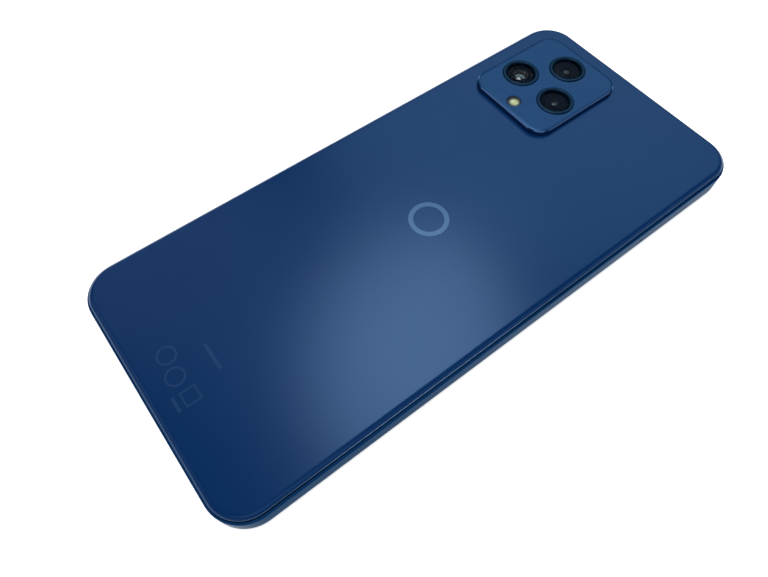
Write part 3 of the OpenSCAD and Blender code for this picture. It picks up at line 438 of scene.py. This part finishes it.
def back_material(look):
    """Satin blue back with the printed marks."""
    made = finish_material("back_satin", look.back_colour_255, look.back_second_255,
                           smooth=look.back_smooth, rough=look.back_rough, metallic=look.back_metal,
                           coat=look.back_coat, coat_rough=0.22, grain=9000.0, amount=0.10, bump=0.03,
                           drift=14.0, glancing=BACK_TINT)
    tree, shader, paint = parts_of(made)
    marks = put(tree, "ShaderNodeGroup", node_tree=marks_group())
    ink = linear(look.mark_255)
    for label, strength in (("Small Marks", look.small_mark_ink), ("Emblem", look.ring_ink)):
        cover = maths(tree, "MULTIPLY", marks.outputs[label], strength)
        paint = blend_colours(tree, cover, paint, ink)
    tree.links.new(paint, shader.inputs["Base Color"])
    return made


def height_mask(tree, level, soft):
    """1 above a level, 0 below it, with a soft step."""
    where = object_place(tree)
    apart = put(tree, "ShaderNodeSeparateXYZ", {0: where})
    return ramp(tree, apart.outputs[2], level - soft, level + soft)


def frame_material():
    """Dark blue anodised metal of the side frame and keys, with a pale band painted on the lip round the
    back as its bright highlight line.
    """
    made = finish_material("frame_satin", (14, 42, 74), (17, 46, 80), smooth=0.2, rough=0.28, metallic=1.0,
                           grain=9000.0, amount=0.1, bump=0.03, drift=14.0, glancing=SIDE_TINT)
    tree, shader, paint = parts_of(made)
    # Painted highlight: a pale, mostly unmetallic band at the very top of the lip stands for the bright
    # line of light round the back
    lip_highlight_colour, lip_highlight_depth, lip_highlight_metal = (84, 116, 160), 0.015 * MM, 0.25
    painted_lip_highlight = height_mask(tree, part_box("side_frame")[1].z - lip_highlight_depth, 0.006 * MM)
    tree.links.new(blend_colours(tree, painted_lip_highlight, paint, linear(lip_highlight_colour)), shader.inputs["Base Color"])
    metal = maths(tree, "SUBTRACT", 1.0, maths(tree, "MULTIPLY", painted_lip_highlight, 1 - lip_highlight_metal))
    tree.links.new(metal, shader.inputs["Metallic"])
    return made


def island_material(low, high):
    """Satin blue island whose chamfer, between two heights, is polished metal."""
    satin_metal, edge_colour, edge_polish, step = 0.35, (72, 100, 144), 0.4, 0.004 * MM
    made = finish_material("island_satin", (18, 62, 112), (20, 65, 116), smooth=0.24, rough=0.3,
                           metallic=satin_metal, grain=9000.0, amount=0.1, bump=0.03, drift=40.0,
                           glancing=ISLAND_TINT)
    tree, shader, paint = parts_of(made)
    dull = shader.inputs["Roughness"].links[0].from_socket
    under = maths(tree, "SUBTRACT", 1.0, height_mask(tree, high, step))
    cut_edge = maths(tree, "MULTIPLY", height_mask(tree, low, step), under)
    metal = maths(tree, "ADD", maths(tree, "MULTIPLY", cut_edge, 1 - satin_metal), satin_metal)
    polish = maths(tree, "SUBTRACT", 1.0, maths(tree, "MULTIPLY", cut_edge, edge_polish))
    tree.links.new(blend_colours(tree, cut_edge, paint, linear(edge_colour)), shader.inputs["Base Color"])
    tree.links.new(metal, shader.inputs["Metallic"])
    tree.links.new(maths(tree, "MULTIPLY", dull, polish), shader.inputs["Roughness"])
    return made


def front_material():
    """Front glass: black printed border round a dark grey picture area, with the camera's opening."""
    made = finish_material("front_glass_printed", (4, 4, 6), (6, 6, 8), smooth=0.03, rough=0.07, coat=1.0,
                           coat_rough=0.02, grain=700.0, amount=0.05, bump=0.002, drift=20.0)
    tree, shader, paint = parts_of(made)
    where = object_place(tree)
    apart = put(tree, "ShaderNodeSeparateXYZ", {0: where})
    centre, low, high = place("display_panel")
    cam = place("front_camera")[0]
    border, dot_r, lens_r, soft = 1.4 * MM, 2.4 * MM, 1.3 * MM, 0.1 * MM
    off_y = maths(tree, "SUBTRACT", apart.outputs[1], centre.y)
    dx = maths(tree, "SUBTRACT", maths(tree, "ABSOLUTE", apart.outputs[0]), high.x - border)
    dy = maths(tree, "SUBTRACT", maths(tree, "ABSOLUTE", off_y), (high.y - low.y) / 2 - border)
    picture = ramp(tree, maths(tree, "MAXIMUM", dx, dy), -soft, soft, 1.0, 0.0)
    hole = put(tree, "ShaderNodeVectorMath", {0: where, 1: (cam.x, cam.y, 0)},
               operation="DISTANCE").outputs["Value"]
    clear = ramp(tree, hole, dot_r - soft, dot_r + soft / 2)
    lens = ramp(tree, hole, lens_r - soft / 2, lens_r + soft / 2, 1.0, 0.0)
    lit = blend_colours(tree, maths(tree, "MULTIPLY", picture, clear), paint, linear((19, 21, 27)))
    eye = blend_colours(tree, maths(tree, "MULTIPLY", lens, 0.8), lit, linear((22, 30, 52)))
    tree.links.new(eye, shader.inputs["Base Color"])
    return made


def glass_material(name, tint, bend):
    """Clear glass, coated against reflections, with a trace of unevenness."""
    made = finish_material(name, tint, tint, smooth=0.01, rough=0.03, grain=900.0, amount=0.02,
                           bump=0.002)
    shader = made.node_tree.nodes["Principled BSDF"]
    shader.inputs["Transmission Weight"].default_value = 1.0
    shader.inputs["IOR"].default_value = bend
    return made


def lens_material(name, shine):
    """Front element of a camera: dark glass with a coating that mirrors the lights by its shine."""
    return finish_material(name, (12, 17, 26), (18, 22, 34), smooth=0.03, rough=0.06, coat=shine,
                           coat_rough=0.02, grain=800.0, amount=0.05, bump=0.002, specular=shine)


def board_material(name, colour, second, metal):
    """Circuit board: lacquer over a grid of conductors and pads."""
    made = finish_material(name, colour, second, smooth=0.25, rough=0.4, coat=0.4,
                           grain=2500.0, amount=0.1, bump=0.05)
    tree, shader, paint = parts_of(made)
    where = object_place(tree)
    brick = put(tree, "ShaderNodeTexBrick", {"Vector": where, "Scale": 420.0, "Mortar Size": 0.09,
                                             "Brick Width": 0.9, "Row Height": 0.35}, offset=0.5)
    dots = put(tree, "ShaderNodeTexVoronoi", {"Vector": where, "Scale": 650.0, "Randomness": 0.55})
    pads = ramp(tree, dots.outputs["Distance"], 0.20, 0.26, 1.0, 0.0)
    lines = blend_colours(tree, maths(tree, "MULTIPLY", brick.outputs["Fac"], 0.5), paint, linear(metal))
    plated = blend_colours(tree, maths(tree, "MULTIPLY", pads, 0.8), lines, linear((196, 164, 96)))
    tree.links.new(plated, shader.inputs["Base Color"])
    return made


def strip_material():
    """Flexible printed strip: amber film over fine parallel conductors."""
    made = finish_material("flex_film", (150, 84, 24), (172, 98, 30), smooth=0.25, rough=0.35, coat=0.5,
                           coat_rough=0.08, grain=1500.0, amount=0.08, bump=0.03)
    tree, shader, paint = parts_of(made)
    where = object_place(tree)
    wave = put(tree, "ShaderNodeTexWave", {"Vector": where, "Scale": 380.0, "Distortion": 0.0},
               bands_direction="X")
    copper = ramp(tree, wave.outputs["Fac"], 0.45, 0.6)
    tree.links.new(blend_colours(tree, copper, paint, linear((96, 48, 14))), shader.inputs["Base Color"])
    return made


def mesh_material():
    """Fine woven steel mesh."""
    made = finish_material("woven_mesh", (70, 72, 76), (86, 88, 92), smooth=0.3, rough=0.5, metallic=0.8,
                           grain=2000.0, amount=0.1, bump=0.1)
    tree, shader, paint = parts_of(made)
    where = object_place(tree)
    weave = put(tree, "ShaderNodeTexVoronoi", {"Vector": where, "Scale": 3200.0, "Randomness": 0.0})
    pores = ramp(tree, weave.outputs["Distance"], 0.25, 0.4, 1.0, 0.0)
    tree.links.new(blend_colours(tree, pores, paint, linear((8, 8, 9))), shader.inputs["Base Color"])
    return made


def flash_material():
    """Milky flash lens: a yellow-green streak a little off its middle, and a dark rim."""
    made = finish_material("flash_lens_milky", (214, 226, 206), (226, 232, 216), smooth=0.05, rough=0.12,
                           coat=1.0, coat_rough=0.03, grain=1500.0, amount=0.04, bump=0.01)
    tree, shader, paint = parts_of(made)
    centre = place("flash_window")[0]
    where = object_place(tree)
    middle = (centre.x + 0.4 * MM, centre.y - 0.2 * MM, centre.z)
    streak_x = centre.x + 0.55 * MM
    far = put(tree, "ShaderNodeVectorMath", {0: where, 1: middle}, operation="DISTANCE").outputs["Value"]
    x = put(tree, "ShaderNodeSeparateXYZ", {0: where}).outputs[0]
    off = maths(tree, "ABSOLUTE", maths(tree, "SUBTRACT", x, streak_x))
    for mask, colour in ((ramp(tree, off, 0.15 * MM, 0.5 * MM, 0.8, 0.0), (206, 214, 92)),
                         (ramp(tree, far, 0.9 * MM, 1.6 * MM), (150, 152, 120)),
                         (ramp(tree, far, 1.3 * MM, 2.0 * MM), (44, 44, 44))):
        paint = blend_colours(tree, mask, paint, linear(colour))
    tree.links.new(paint, shader.inputs["Base Color"])
    return made


# ---------------------------------------------------------------- settings

class PhoneLook(bpy.types.PropertyGroup):
    """Sizes and colours that a user would change"""

    panel_run: FloatProperty(name="Back Edge Width", description="Width of the back's curved edge",
                             default=1.3 * MM, min=0.5 * MM, max=2 * MM, subtype="DISTANCE")
    panel_round: FloatProperty(name="Back Edge Radius", description="Radius of the back's curved edge",
                               default=1.62 * MM, min=1.35 * MM, max=4 * MM, subtype="DISTANCE")
    panel_corner: FloatProperty(name="Back Corner Radius", description="Corner radius of the back",
                                default=8.83 * MM, min=5 * MM, max=14 * MM, subtype="DISTANCE")
    glass_corner: FloatProperty(name="Glass Corner Radius", description="Corner radius of the front glass",
                                default=8.85 * MM, min=5 * MM, max=14 * MM, subtype="DISTANCE")
    glass_round: FloatProperty(name="Glass Edge Radius", description="Radius of the front glass's edge",
                               default=0.35 * MM, min=0.1 * MM, max=0.6 * MM, subtype="DISTANCE")
    island_corner: FloatProperty(name="Island Corner Radius", description="Corner radius of the island",
                                 default=5.2 * MM, min=2 * MM, max=8 * MM, subtype="DISTANCE")
    island_wall: FloatProperty(name="Island Wall", description="Thickness of the island's wall",
                               default=1.6 * MM, min=0.8 * MM, max=2.5 * MM, subtype="DISTANCE")
    corner_segments: IntProperty(name="Corner Segments", description="Facets in each rounded corner",
                                 default=24, min=6, max=48)
    back_colour_255: FloatVectorProperty(name="Back Colour", description="Main colour of the back",
                                         default=(5, 50, 102), size=3, min=0, max=255)
    back_second_255: FloatVectorProperty(name="Back Second Colour", description="Second colour of the back",
                                         default=(7, 53, 106), size=3, min=0, max=255)
    mark_255: FloatVectorProperty(name="Mark Colour", description="Colour of the printed marks",
                                  default=(96, 132, 178), size=3, min=0, max=255)
    ring_ink: FloatProperty(name="Ring Ink", description="How strongly the ring is printed",
                            default=0.5, min=0, max=1, subtype="FACTOR")
    small_mark_ink: FloatProperty(name="Small Mark Ink", description="How strongly they are printed",
                                  default=0.11, min=0, max=1, subtype="FACTOR")
    back_smooth: FloatProperty(name="Back Smooth", description="Roughness where the back is smoothest",
                               default=0.22, min=0, max=1, subtype="FACTOR")
    back_rough: FloatProperty(name="Back Rough", description="Roughness where the back is roughest",
                              default=0.27, min=0, max=1, subtype="FACTOR")
    back_metal: FloatProperty(name="Back Metal", description="Share of metal flake in the back's paint",
                              default=0.22, min=0, max=1, subtype="FACTOR")
    back_coat: FloatProperty(name="Back Lacquer", description="Weight of the clear lacquer on the back",
                             default=0.0, min=0, max=1, subtype="FACTOR")


class PhoneStage(bpy.types.PropertyGroup):
    """Camera and light"""

    eye: FloatVectorProperty(name="Camera Place", description="Where the camera stands", size=3,
                             default=(68.98 * MM, -68.47 * MM, 142.74 * MM), subtype="TRANSLATION")
    aim: FloatVectorProperty(name="Camera Aim", description="Point in the middle of the view", size=3,
                             default=(10.377 * MM, -22.793 * MM, 8.9 * MM), subtype="TRANSLATION")
    roll: FloatProperty(name="Camera Roll", description="Turn about the line of sight",
                        default=math.radians(0.864), subtype="ANGLE")
    lens: FloatProperty(name="Focal Length", description="Focal length in millimetres", default=28.345,
                        min=10, max=200)
    box_power: FloatProperty(name="Soft Box", description="Power of the soft box over the phone, watts",
                             default=0.95, min=0)
    top_power: FloatProperty(name="Top Light", description="Power of the light straight above, watts",
                             default=17.0, min=0)
    edge_power: FloatProperty(name="Edge Light", description="Power of the strip beside the phone, watts",
                              default=0.38, min=0)
    end_power: FloatProperty(name="End Light", description="Power of the strip below the phone, watts",
                             default=0.32, min=0)
    corner_power: FloatProperty(name="Corner Light", description="Power of the light off the corner, watts",
                                default=0.7, min=0)
    floor_glow: FloatProperty(name="Floor Glow", description="Light that the white floor adds of its own",
                              default=0.65, min=0)
    back_power: FloatProperty(name="Back Light", description="Power of the light past the phone, watts",
                              default=1.45, min=0)
    side_power: FloatProperty(name="Side Light", description="Power of the light on the key side, watts",
                              default=0.35, min=0)
    room: FloatProperty(name="Room", description="Brightness of the room in reflections", default=0.1,
                        min=0)


# ---------------------------------------------------------------- pieces

class PHONE_OT_finishes(bpy.types.Operator):
    """Gives every CAD node that stays its own procedural finish"""

    bl_idname = "phone.finishes"
    bl_label = "Finish the CAD Pieces"

    def execute(self, context):
        steel = finish_material("brushed_steel", (150, 152, 156), (168, 170, 174), smooth=0.22, rough=0.38,
                                metallic=0.95, grain=900.0, amount=0.08, bump=0.08, stretch=(1, 12, 1))
        dark = finish_material("moulded_black", (16, 16, 18), (22, 22, 24), smooth=0.42, rough=0.58,
                               grain=3500.0, amount=0.2, bump=0.25)
        glue = finish_material("adhesive_tape", (20, 20, 22), (30, 30, 33), smooth=0.55, rough=0.75,
                               grain=1800.0, amount=0.15, bump=0.2)
        gold = finish_material("gilt_copper", (196, 150, 76), (176, 128, 60), smooth=0.25, rough=0.4,
                               metallic=0.9, grain=1800.0, amount=0.1, bump=0.06)
        plate = finish_material("cast_plate", (138, 141, 145), (152, 155, 158), smooth=0.35, rough=0.55,
                                metallic=0.85, grain=2600.0, amount=0.12, bump=0.2)
        frame_blue = frame_material()
        seal = finish_material("silicone_black", (22, 22, 23), (28, 28, 30), smooth=0.5, rough=0.65,
                               grain=2200.0, amount=0.1, bump=0.1)
        chip = finish_material("chip_resin", (24, 25, 27), (32, 33, 35), smooth=0.45, rough=0.6,
                               grain=5200.0, amount=0.25, bump=0.3)
        foil = finish_material("battery_wrap", (38, 40, 44), (48, 50, 55), smooth=0.3, rough=0.45,
                               grain=260.0, amount=0.15, bump=0.35, drift=60.0, depth=0.1 * MM)
        white = finish_material("white_tape_film", (226, 227, 228), (214, 215, 218), smooth=0.35, rough=0.5,
                                grain=1500.0, amount=0.06, bump=0.1)
        cell = finish_material("display_cell", (24, 27, 36), (30, 33, 42), smooth=0.1, rough=0.16, coat=0.8,
                               coat_rough=0.04, grain=5000.0, amount=0.12, bump=0.01)
        sensor = finish_material("sensor_satin", (12, 34, 72), (16, 40, 80), smooth=0.22, rough=0.3,
                                 metallic=1.0, grain=6000.0, amount=0.08, bump=0.01, glancing=SIDE_TINT)
        led = finish_material("phosphor_yellow", (238, 214, 72), (228, 198, 56), smooth=0.5, rough=0.7,
                              grain=5000.0, amount=0.2, bump=0.1)
        silicon = finish_material("sensor_silicon", (84, 70, 104), (60, 84, 96), smooth=0.12, rough=0.2,
                                  metallic=0.5, coat=0.6, coat_rough=0.05, grain=6000.0, amount=0.1,
                                  bump=0.01, drift=220.0)
        green = board_material("board_lacquer", (10, 62, 48), (12, 72, 54), (24, 104, 76))
        flex = strip_material()
        woven = mesh_material()
        by_node = {
            "display_panel": cell, "backlight": white, "display_adhesive": glue, "side_frame": frame_blue,
            "mid_plate": plate, "rear_cover_adhesive": glue, "camera_deck_adhesive": glue,
            "flash_led": led, "flash_board": green, "main_camera": dark, "main_lens_barrel": dark,
            "image_sensor": silicon, "wide_camera": dark, "macro_camera": dark, "front_camera": dark,
            "earpiece": dark, "earpiece_mesh": woven, "loudspeaker": dark, "loudspeaker_mesh": woven,
            "microphone": gold, "usb_shell": steel, "usb_tongue": dark, "headphone_socket": dark,
            "sim_tray": frame_blue, "sim_tray_seal": seal, "sim_reader": steel, "eject_rod": steel,
            "eject_lever": steel, "power_key": frame_blue, "fingerprint_sensor": sensor,
            "volume_rocker": frame_blue, "key_switches": steel, "key_flex": flex, "key_bracket": steel,
            "main_board": green, "shield_cans": steel, "processor": chip, "sub_board": green,
            "battery": foil, "battery_adhesive": white, "main_flex": flex, "display_flex": flex,
            "coax_cable": seal, "motor_can": steel, "motor_rotor": plate, "top_bracket": dark,
            "bottom_bracket": dark, "nfc_antenna": gold, "screws": steel,
        }
        for name, finish in by_node.items():
            for slot in NODES[name].material_slots:
                slot.material = finish
        return {"FINISHED"}


class PHONE_OT_back_panel(bpy.types.Operator):
    """Back panel with its curved edge, the pocket for the lens island and the printed marks"""

    bl_idname = "phone.back_panel"
    bl_label = "Back Panel"

    def execute(self, context):
        look = context.scene.phone_look
        centre, low, high = place("rear_cover")
        size = high - low
        steps = arc_steps(look.panel_round, look.panel_run, 10)
        wall = size.z - sum(rise for _, rise in steps)
        panel = rounded_block("back_panel", (centre.x, centre.y, low.z), (size.x, size.y, wall),
                              look.panel_corner, look.corner_segments)
        level_ring = 0.25 * MM
        step_faces(panel, 1, steps + [(level_ring, 0)])
        deck, deck_low, deck_high = place("camera_deck")
        room = deck_high - deck_low
        glue_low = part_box("camera_deck_adhesive")[0].z
        gap, ledge, opening_corner = 0.1 * MM, 3 * MM, 3.2 * MM
        height = size.z + 2 * PAST
        cut(panel, rounded_block("pocket_cutter", (deck.x, deck.y, glue_low),
                                 (room.x + 2 * gap, room.y + 2 * gap, height),
                                 look.island_corner + gap, 16))
        cut(panel, rounded_block("opening_cutter", (deck.x, deck.y, low.z - PAST),
                                 (room.x - 2 * ledge, room.y - 2 * ledge, height),
                                 opening_corner, 12))
        finish_piece(panel, ["rear_cover"], "back_blue", back_material(look))
        return {"FINISHED"}


class PHONE_OT_front_glass(bpy.types.Operator):
    """Front glass with a polished edge, printed border and earpiece notch"""

    bl_idname = "phone.front_glass"
    bl_label = "Front Glass"

    def execute(self, context):
        look = context.scene.phone_look
        centre, low, high = place("cover_glass")
        size = high - low
        radius = look.glass_round
        steps = arc_steps(radius, 0.98 * radius, 6)
        drop = sum(rise for _, rise in steps)
        glass = rounded_block("front_glass", (centre.x, centre.y, low.z + drop),
                              (size.x, size.y, size.z - drop), look.glass_corner, look.corner_segments)
        step_faces(glass, -1, steps + [(LEVEL_RING, 0)])
        mesh, mesh_low = place("earpiece_mesh")[:2]
        notch_width, notch_corner = 12.2 * MM, 0.3 * MM
        cut(glass, rounded_block("notch_cutter", (mesh.x, high.y, low.z - PAST),
                                 (notch_width, 2 * (high.y - mesh_low.y), size.z + 2 * PAST),
                                 notch_corner, 4))
        finish_piece(glass, ["cover_glass"], "front_glass", front_material())
        return {"FINISHED"}


class PHONE_OT_camera_island(bpy.types.Operator):
    """Raised lens island with a polished chamfer, a shallow slope, ring seats and the flash opening"""

    bl_idname = "phone.camera_island"
    bl_label = "Lens Island"

    def execute(self, context):
        look = context.scene.phone_look
        centre, low, high = place("camera_deck")
        size = high - low
        bevel = 0.26 * MM
        slope, drop = 0.6 * MM, 0.16 * MM
        wall = size.z - bevel - drop
        island = rounded_block("camera_island", (centre.x, centre.y, low.z), (size.x, size.y, wall),
                               look.island_corner, look.corner_segments)
        step_faces(island, 1, [(bevel, bevel), (slope, drop), (LEVEL_RING, 0)])
        roof = 1.0 * MM
        inner = 2 * look.island_wall
        cut(island, rounded_block("hollow_cutter", (centre.x, centre.y, low.z - PAST),
                                  (size.x - inner, size.y - inner, size.z + PAST - roof),
                                  look.island_corner - look.island_wall, 16))
        under, over = low.z - PAST, high.z + PAST
        for k in (1, 2, 3):
            ring, ring_low, ring_high = place(f"lens_ring_{k}")
            bore = (ring_high.x - ring_low.x) / 2 + 0.05 * MM
            tube, flare = bore - 0.65 * MM, bore + 0.14 * MM
            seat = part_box(f"lens_window_{k}")[0].z
            cut(island, turned("seat_cutter", (ring.x, ring.y, 0), [
                (0, under), (tube, under), (tube, seat), (bore, seat), (bore, high.z - 0.08 * MM),
                (flare, high.z + 0.06 * MM), (flare, over), (0, over)]))
        flash = place("flash_window")[0]
        bore = 2.15 * MM
        flare = bore + 0.2 * MM
        cut(island, turned("flash_cutter", (flash.x, flash.y, 0), [
            (0, under), (bore, under), (bore, high.z - 0.12 * MM), (flare, high.z + 0.08 * MM),
            (flare, over), (0, over)], steps=64))
        finish = island_material(low.z + wall, high.z - drop)
        finish_piece(island, ["camera_deck"], "deck_blue", finish, angle=25)
        return {"FINISHED"}


class PHONE_OT_lens_rings(bpy.types.Operator):
    """Three turned trim rings round the lenses"""

    bl_idname = "phone.lens_rings"
    bl_label = "Lens Rings"

    def execute(self, context):
        finish = finish_material("ring_anodised", (10, 40, 66), (12, 44, 72), smooth=0.22, rough=0.3,
                                 metallic=0.6, grain=3000.0, amount=0.1, bump=0.04, glancing=RING_TINT)
        centre, low, high = place("lens_ring_1")
        window_low, window_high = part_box("lens_window_1")
        r = (high.x - low.x) / 2
        bore = (window_high.x - window_low.x) / 2 + 0.05 * MM
        seat, top = window_low.z, high.z
        tube_out, tube_in = r - 0.65 * MM, bore - 0.45 * MM
        outline = [
            (tube_in, low.z), (tube_out, low.z), (tube_out, seat), (r, seat),
            (r, top - 0.24 * MM), (r - 0.03 * MM, top - 0.14 * MM), (r - 0.11 * MM, top - 0.05 * MM),
            (r - 0.22 * MM, top), (bore + 0.42 * MM, top), (bore + 0.34 * MM, top - 0.02 * MM),
            (bore + 0.05 * MM, top - 0.2 * MM), (bore, top - 0.28 * MM), (bore, seat), (tube_in, seat)]
        first = turned("lens_ring_a", (centre.x, centre.y, 0), outline, closed=True)
        finish_piece(first, ["lens_ring_1"], "trim_ring", finish, angle=40)
        for k, letter in ((2, "b"), (3, "c")):
            there = place(f"lens_ring_{k}")[0]
            copy = copy_to(first, f"lens_ring_{letter}", there - centre)
            finish_piece(copy, [f"lens_ring_{k}"], "trim_ring", finish, angle=40)
        return {"FINISHED"}


def copy_to(obj, name, shift):
    """Copy with its own mesh, moved in edit mode."""
    alone(obj)
    bpy.ops.object.duplicate(linked=False)
    copy = added(name)
    copy.parent = None
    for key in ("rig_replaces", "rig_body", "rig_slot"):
        if key in copy:
            del copy[key]
    start(copy)
    bpy.ops.mesh.select_all(action="SELECT")
    bpy.ops.transform.translate(value=shift)
    stop()
    return copy


class PHONE_OT_lens_windows(bpy.types.Operator):
    """Glass discs over the lenses, with their black printed masks and the lens elements behind"""

    bl_idname = "phone.lens_windows"
    bl_label = "Lens Windows"

    def execute(self, context):
        clear = glass_material("window_glass", (244, 246, 248), 1.08)
        ink = finish_material("mask_ink", (0, 8, 28), (1, 10, 32), smooth=0.5, rough=0.6, specular=0.05,
                              grain=1200.0, amount=0.1, bump=0.01)
        for k in (1, 2, 3):
            centre, low, high = place(f"lens_window_{k}")
            r = (high.x - low.x) / 2
            edge = 0.07 * MM
            disc = turned(f"lens_glass_{k}", (centre.x, centre.y, 0), [
                (0, low.z), (r - edge, low.z), (r, low.z + edge), (r, high.z - edge),
                (r - 0.3 * edge, high.z - 0.3 * edge), (r - edge, high.z), (0, high.z)])
            finish_piece(disc, [f"lens_window_{k}"], "lens_glass", clear, angle=30)
            hole = (2.35 if k == 1 else 1.3) * MM
            top, sheet = low.z - 0.03 * MM, 0.14 * MM
            rim = r - 0.5 * MM
            mask = turned(f"lens_mask_{k}", (centre.x, centre.y, 0), [
                (hole + 0.05 * MM, top - sheet), (rim, top - sheet), (rim, top),
                (hole + 0.08 * MM, top), (hole, top - 0.08 * MM)], closed=True)
            finish_piece(mask, [], "black_plastic", ink, angle=30)
        self.main_element(lens_material("lens_coating", 1.0))
        element = lens_material("small_lens_coating", 0.45)
        for k, camera in ((2, "wide_camera"), (3, "macro_camera")):
            centre, mouth = place(f"lens_window_{k}")[0], place(camera)[2].z
            lens = dome(f"lens_element_{k}", centre, mouth + 0.02 * MM, 1.0 * MM, 2.4 * MM,
                        foot=(0.85 * MM, 0.3 * MM))
            finish_piece(lens, [], "lens_glass", element, angle=60)
        return {"FINISHED"}

    def main_element(self, finish):
        """Wide front lens in the focusing barrel, which it moves with."""
        centre, mouth = place("lens_window_1")[0], place("main_lens_barrel")[2].z
        lens = dome("lens_element_1", centre, mouth - 0.24 * MM, 1.98 * MM, 5 * MM,
                    foot=(1.6 * MM, 0.22 * MM))
        finish_piece(lens, [], "lens_glass", finish, angle=60, body="main_lens")


def dome(name, centre, base, radius, curve, foot):
    """Domed disc on a narrower foot; foot is its radius and its depth below the rim."""
    top = math.asin(radius / curve)
    height = curve * (1 - math.cos(top))
    foot_r, foot_z = foot[0], base - foot[1]
    outline = [(0, foot_z), (foot_r, foot_z), (radius, base - 0.02 * MM), (radius, base)]
    steps = 12
    for k in range(1, steps + 1):
        a = top * (1 - k / steps)
        outline.append((curve * math.sin(a), base + height - curve * (1 - math.cos(a))))
    return turned(name, (centre.x, centre.y, 0), outline, steps=64)


class PHONE_OT_flash(bpy.types.Operator):
    """Flash lens with fine concentric steps"""

    bl_idname = "phone.flash"
    bl_label = "Flash Lens"

    def execute(self, context):
        centre, low, high = place("flash_window")
        flange = (high.x - low.x) / 2
        r = flange - 0.3 * MM
        step = low.z + 0.4 * MM
        top = high.z - 0.02 * MM
        ribbed = r - 0.3 * MM
        outline = [(0, low.z), (flange, low.z), (flange, step), (r, step), (r, high.z - 0.12 * MM),
                   (r - 0.12 * MM, top)]
        grooves = 7
        for k in range(grooves):
            outer = ribbed * (1 - k / grooves)
            inner = ribbed * (1 - (k + 0.75) / grooves)
            outline += [(outer, high.z - 0.10 * MM), (inner, high.z)]
        outline.append((0, top))
        lens = turned("flash_lens", (centre.x, centre.y, 0), outline, steps=64)
        finish_piece(lens, ["flash_window"], "flash_lens", flash_material(), angle=20)
        return {"FINISHED"}


# ---------------------------------------------------------------- stage

class PHONE_OT_stage(bpy.types.Operator):
    """Pale floor, soft lights, a dim room and the camera"""

    bl_idname = "phone.stage"
    bl_label = "Stage"

    def execute(self, context):
        stage = context.scene.phone_stage
        scene = context.scene
        bpy.ops.object.select_all(action="DESELECT")
        bpy.ops.mesh.primitive_plane_add(size=FLOOR_SIZE, location=(0, 0, -FLOOR_GAP))
        floor = added("studio_floor")
        settle(floor)
        paper = finish_material("floor_paper", (244, 244, 244), (246, 246, 246), smooth=0.7, rough=0.8,
                                grain=300.0, amount=0.01, bump=0.01, drift=3.0, specular=0.2)
        shader = paper.node_tree.nodes["Principled BSDF"]
        shader.inputs["Emission Color"].default_value = (1, 1, 1, 1)
        shader.inputs["Emission Strength"].default_value = stage.floor_glow
        floor.data.materials.append(paper)
        for name, power, where, aim, size, colour in LIGHTS:
            self.light(name, where, aim, size, getattr(stage, power), colour)
        bpy.data.objects["top_light"].visible_glossy = False
        self.room(scene, stage.room)
        eye, aim = Vector(stage.eye), Vector(stage.aim)
        turn = (aim - eye).to_track_quat("-Z", "Y") @ Quaternion((0, 0, 1), stage.roll)
        bpy.ops.object.camera_add(location=eye, rotation=turn.to_euler())
        camera = context.view_layer.objects.active
        camera.name = "view_camera"
        camera.data.lens = stage.lens
        camera.data.sensor_width = 36
        camera.data.clip_start = 0.005
        camera.data.dof.use_dof = False
        scene.camera = camera
        scene.view_settings.view_transform = "Standard"
        return {"FINISHED"}

    def light(self, name, where, aim, size, power, colour):
        """Oval area light turned to a point."""
        turn = (Vector(aim) - Vector(where)).to_track_quat("-Z", "Y")
        bpy.ops.object.light_add(type="AREA", location=where, rotation=turn.to_euler())
        lamp = bpy.context.view_layer.objects.active
        lamp.name = name
        lamp.data.shape = "ELLIPSE"
        lamp.data.size, lamp.data.size_y = size
        lamp.data.energy = power
        lamp.data.color = colour

    def room(self, scene, level):
        """A pale room to the camera, and a dim blue one in reflections."""
        world = bpy.data.worlds.new("Studio")
        scene.world = world
        world.use_nodes = True
        tree = world.node_tree
        tree.nodes.clear()
        seen = put(tree, "ShaderNodeBackground", {"Color": (0.93, 0.93, 0.93, 1), "Strength": 1.0})
        felt = put(tree, "ShaderNodeBackground", {"Color": (0.6, 0.85, 1.25, 1), "Strength": level})
        path = put(tree, "ShaderNodeLightPath")
        mixed = put(tree, "ShaderNodeMixShader", {0: path.outputs["Is Camera Ray"], 1: felt.outputs[0],
                                                  2: seen.outputs[0]})
        put(tree, "ShaderNodeOutputWorld", {"Surface": mixed.outputs[0]})


# ---------------------------------------------------------------- panel and registration

OPERATORS = (PHONE_OT_finishes, PHONE_OT_back_panel, PHONE_OT_front_glass, PHONE_OT_camera_island,
             PHONE_OT_lens_rings, PHONE_OT_lens_windows, PHONE_OT_flash, PHONE_OT_stage)


class PHONE_PT_panel(bpy.types.Panel):
    """Sizes, colours and build steps of the phone"""

    bl_idname = "PHONE_PT_panel"
    bl_label = "Smartphone"
    bl_space_type = "VIEW_3D"
    bl_region_type = "UI"
    bl_category = "Phone"

    def draw(self, context):
        for group in (context.scene.phone_look, context.scene.phone_stage):
            for name in group.__annotations__:
                self.layout.prop(group, name)
        for operator in OPERATORS:
            self.layout.operator(operator.bl_idname)


CLASSES = (PhoneLook, PhoneStage, *OPERATORS, PHONE_PT_panel)


def register():
    for cls in CLASSES:
        bpy.utils.register_class(cls)
    bpy.types.Scene.phone_look = PointerProperty(type=PhoneLook)
    bpy.types.Scene.phone_stage = PointerProperty(type=PhoneStage)


def unregister():
    del bpy.types.Scene.phone_look
    del bpy.types.Scene.phone_stage
    for cls in reversed(CLASSES):
        bpy.utils.unregister_class(cls)


def main():
    register()
    bpy.ops.phone.finishes()
    bpy.ops.phone.back_panel()
    bpy.ops.phone.front_glass()
    bpy.ops.phone.camera_island()
    bpy.ops.phone.lens_rings()
    bpy.ops.phone.lens_windows()
    bpy.ops.phone.flash()
    bpy.ops.phone.stage()


if __name__ == "__main__":
    main()
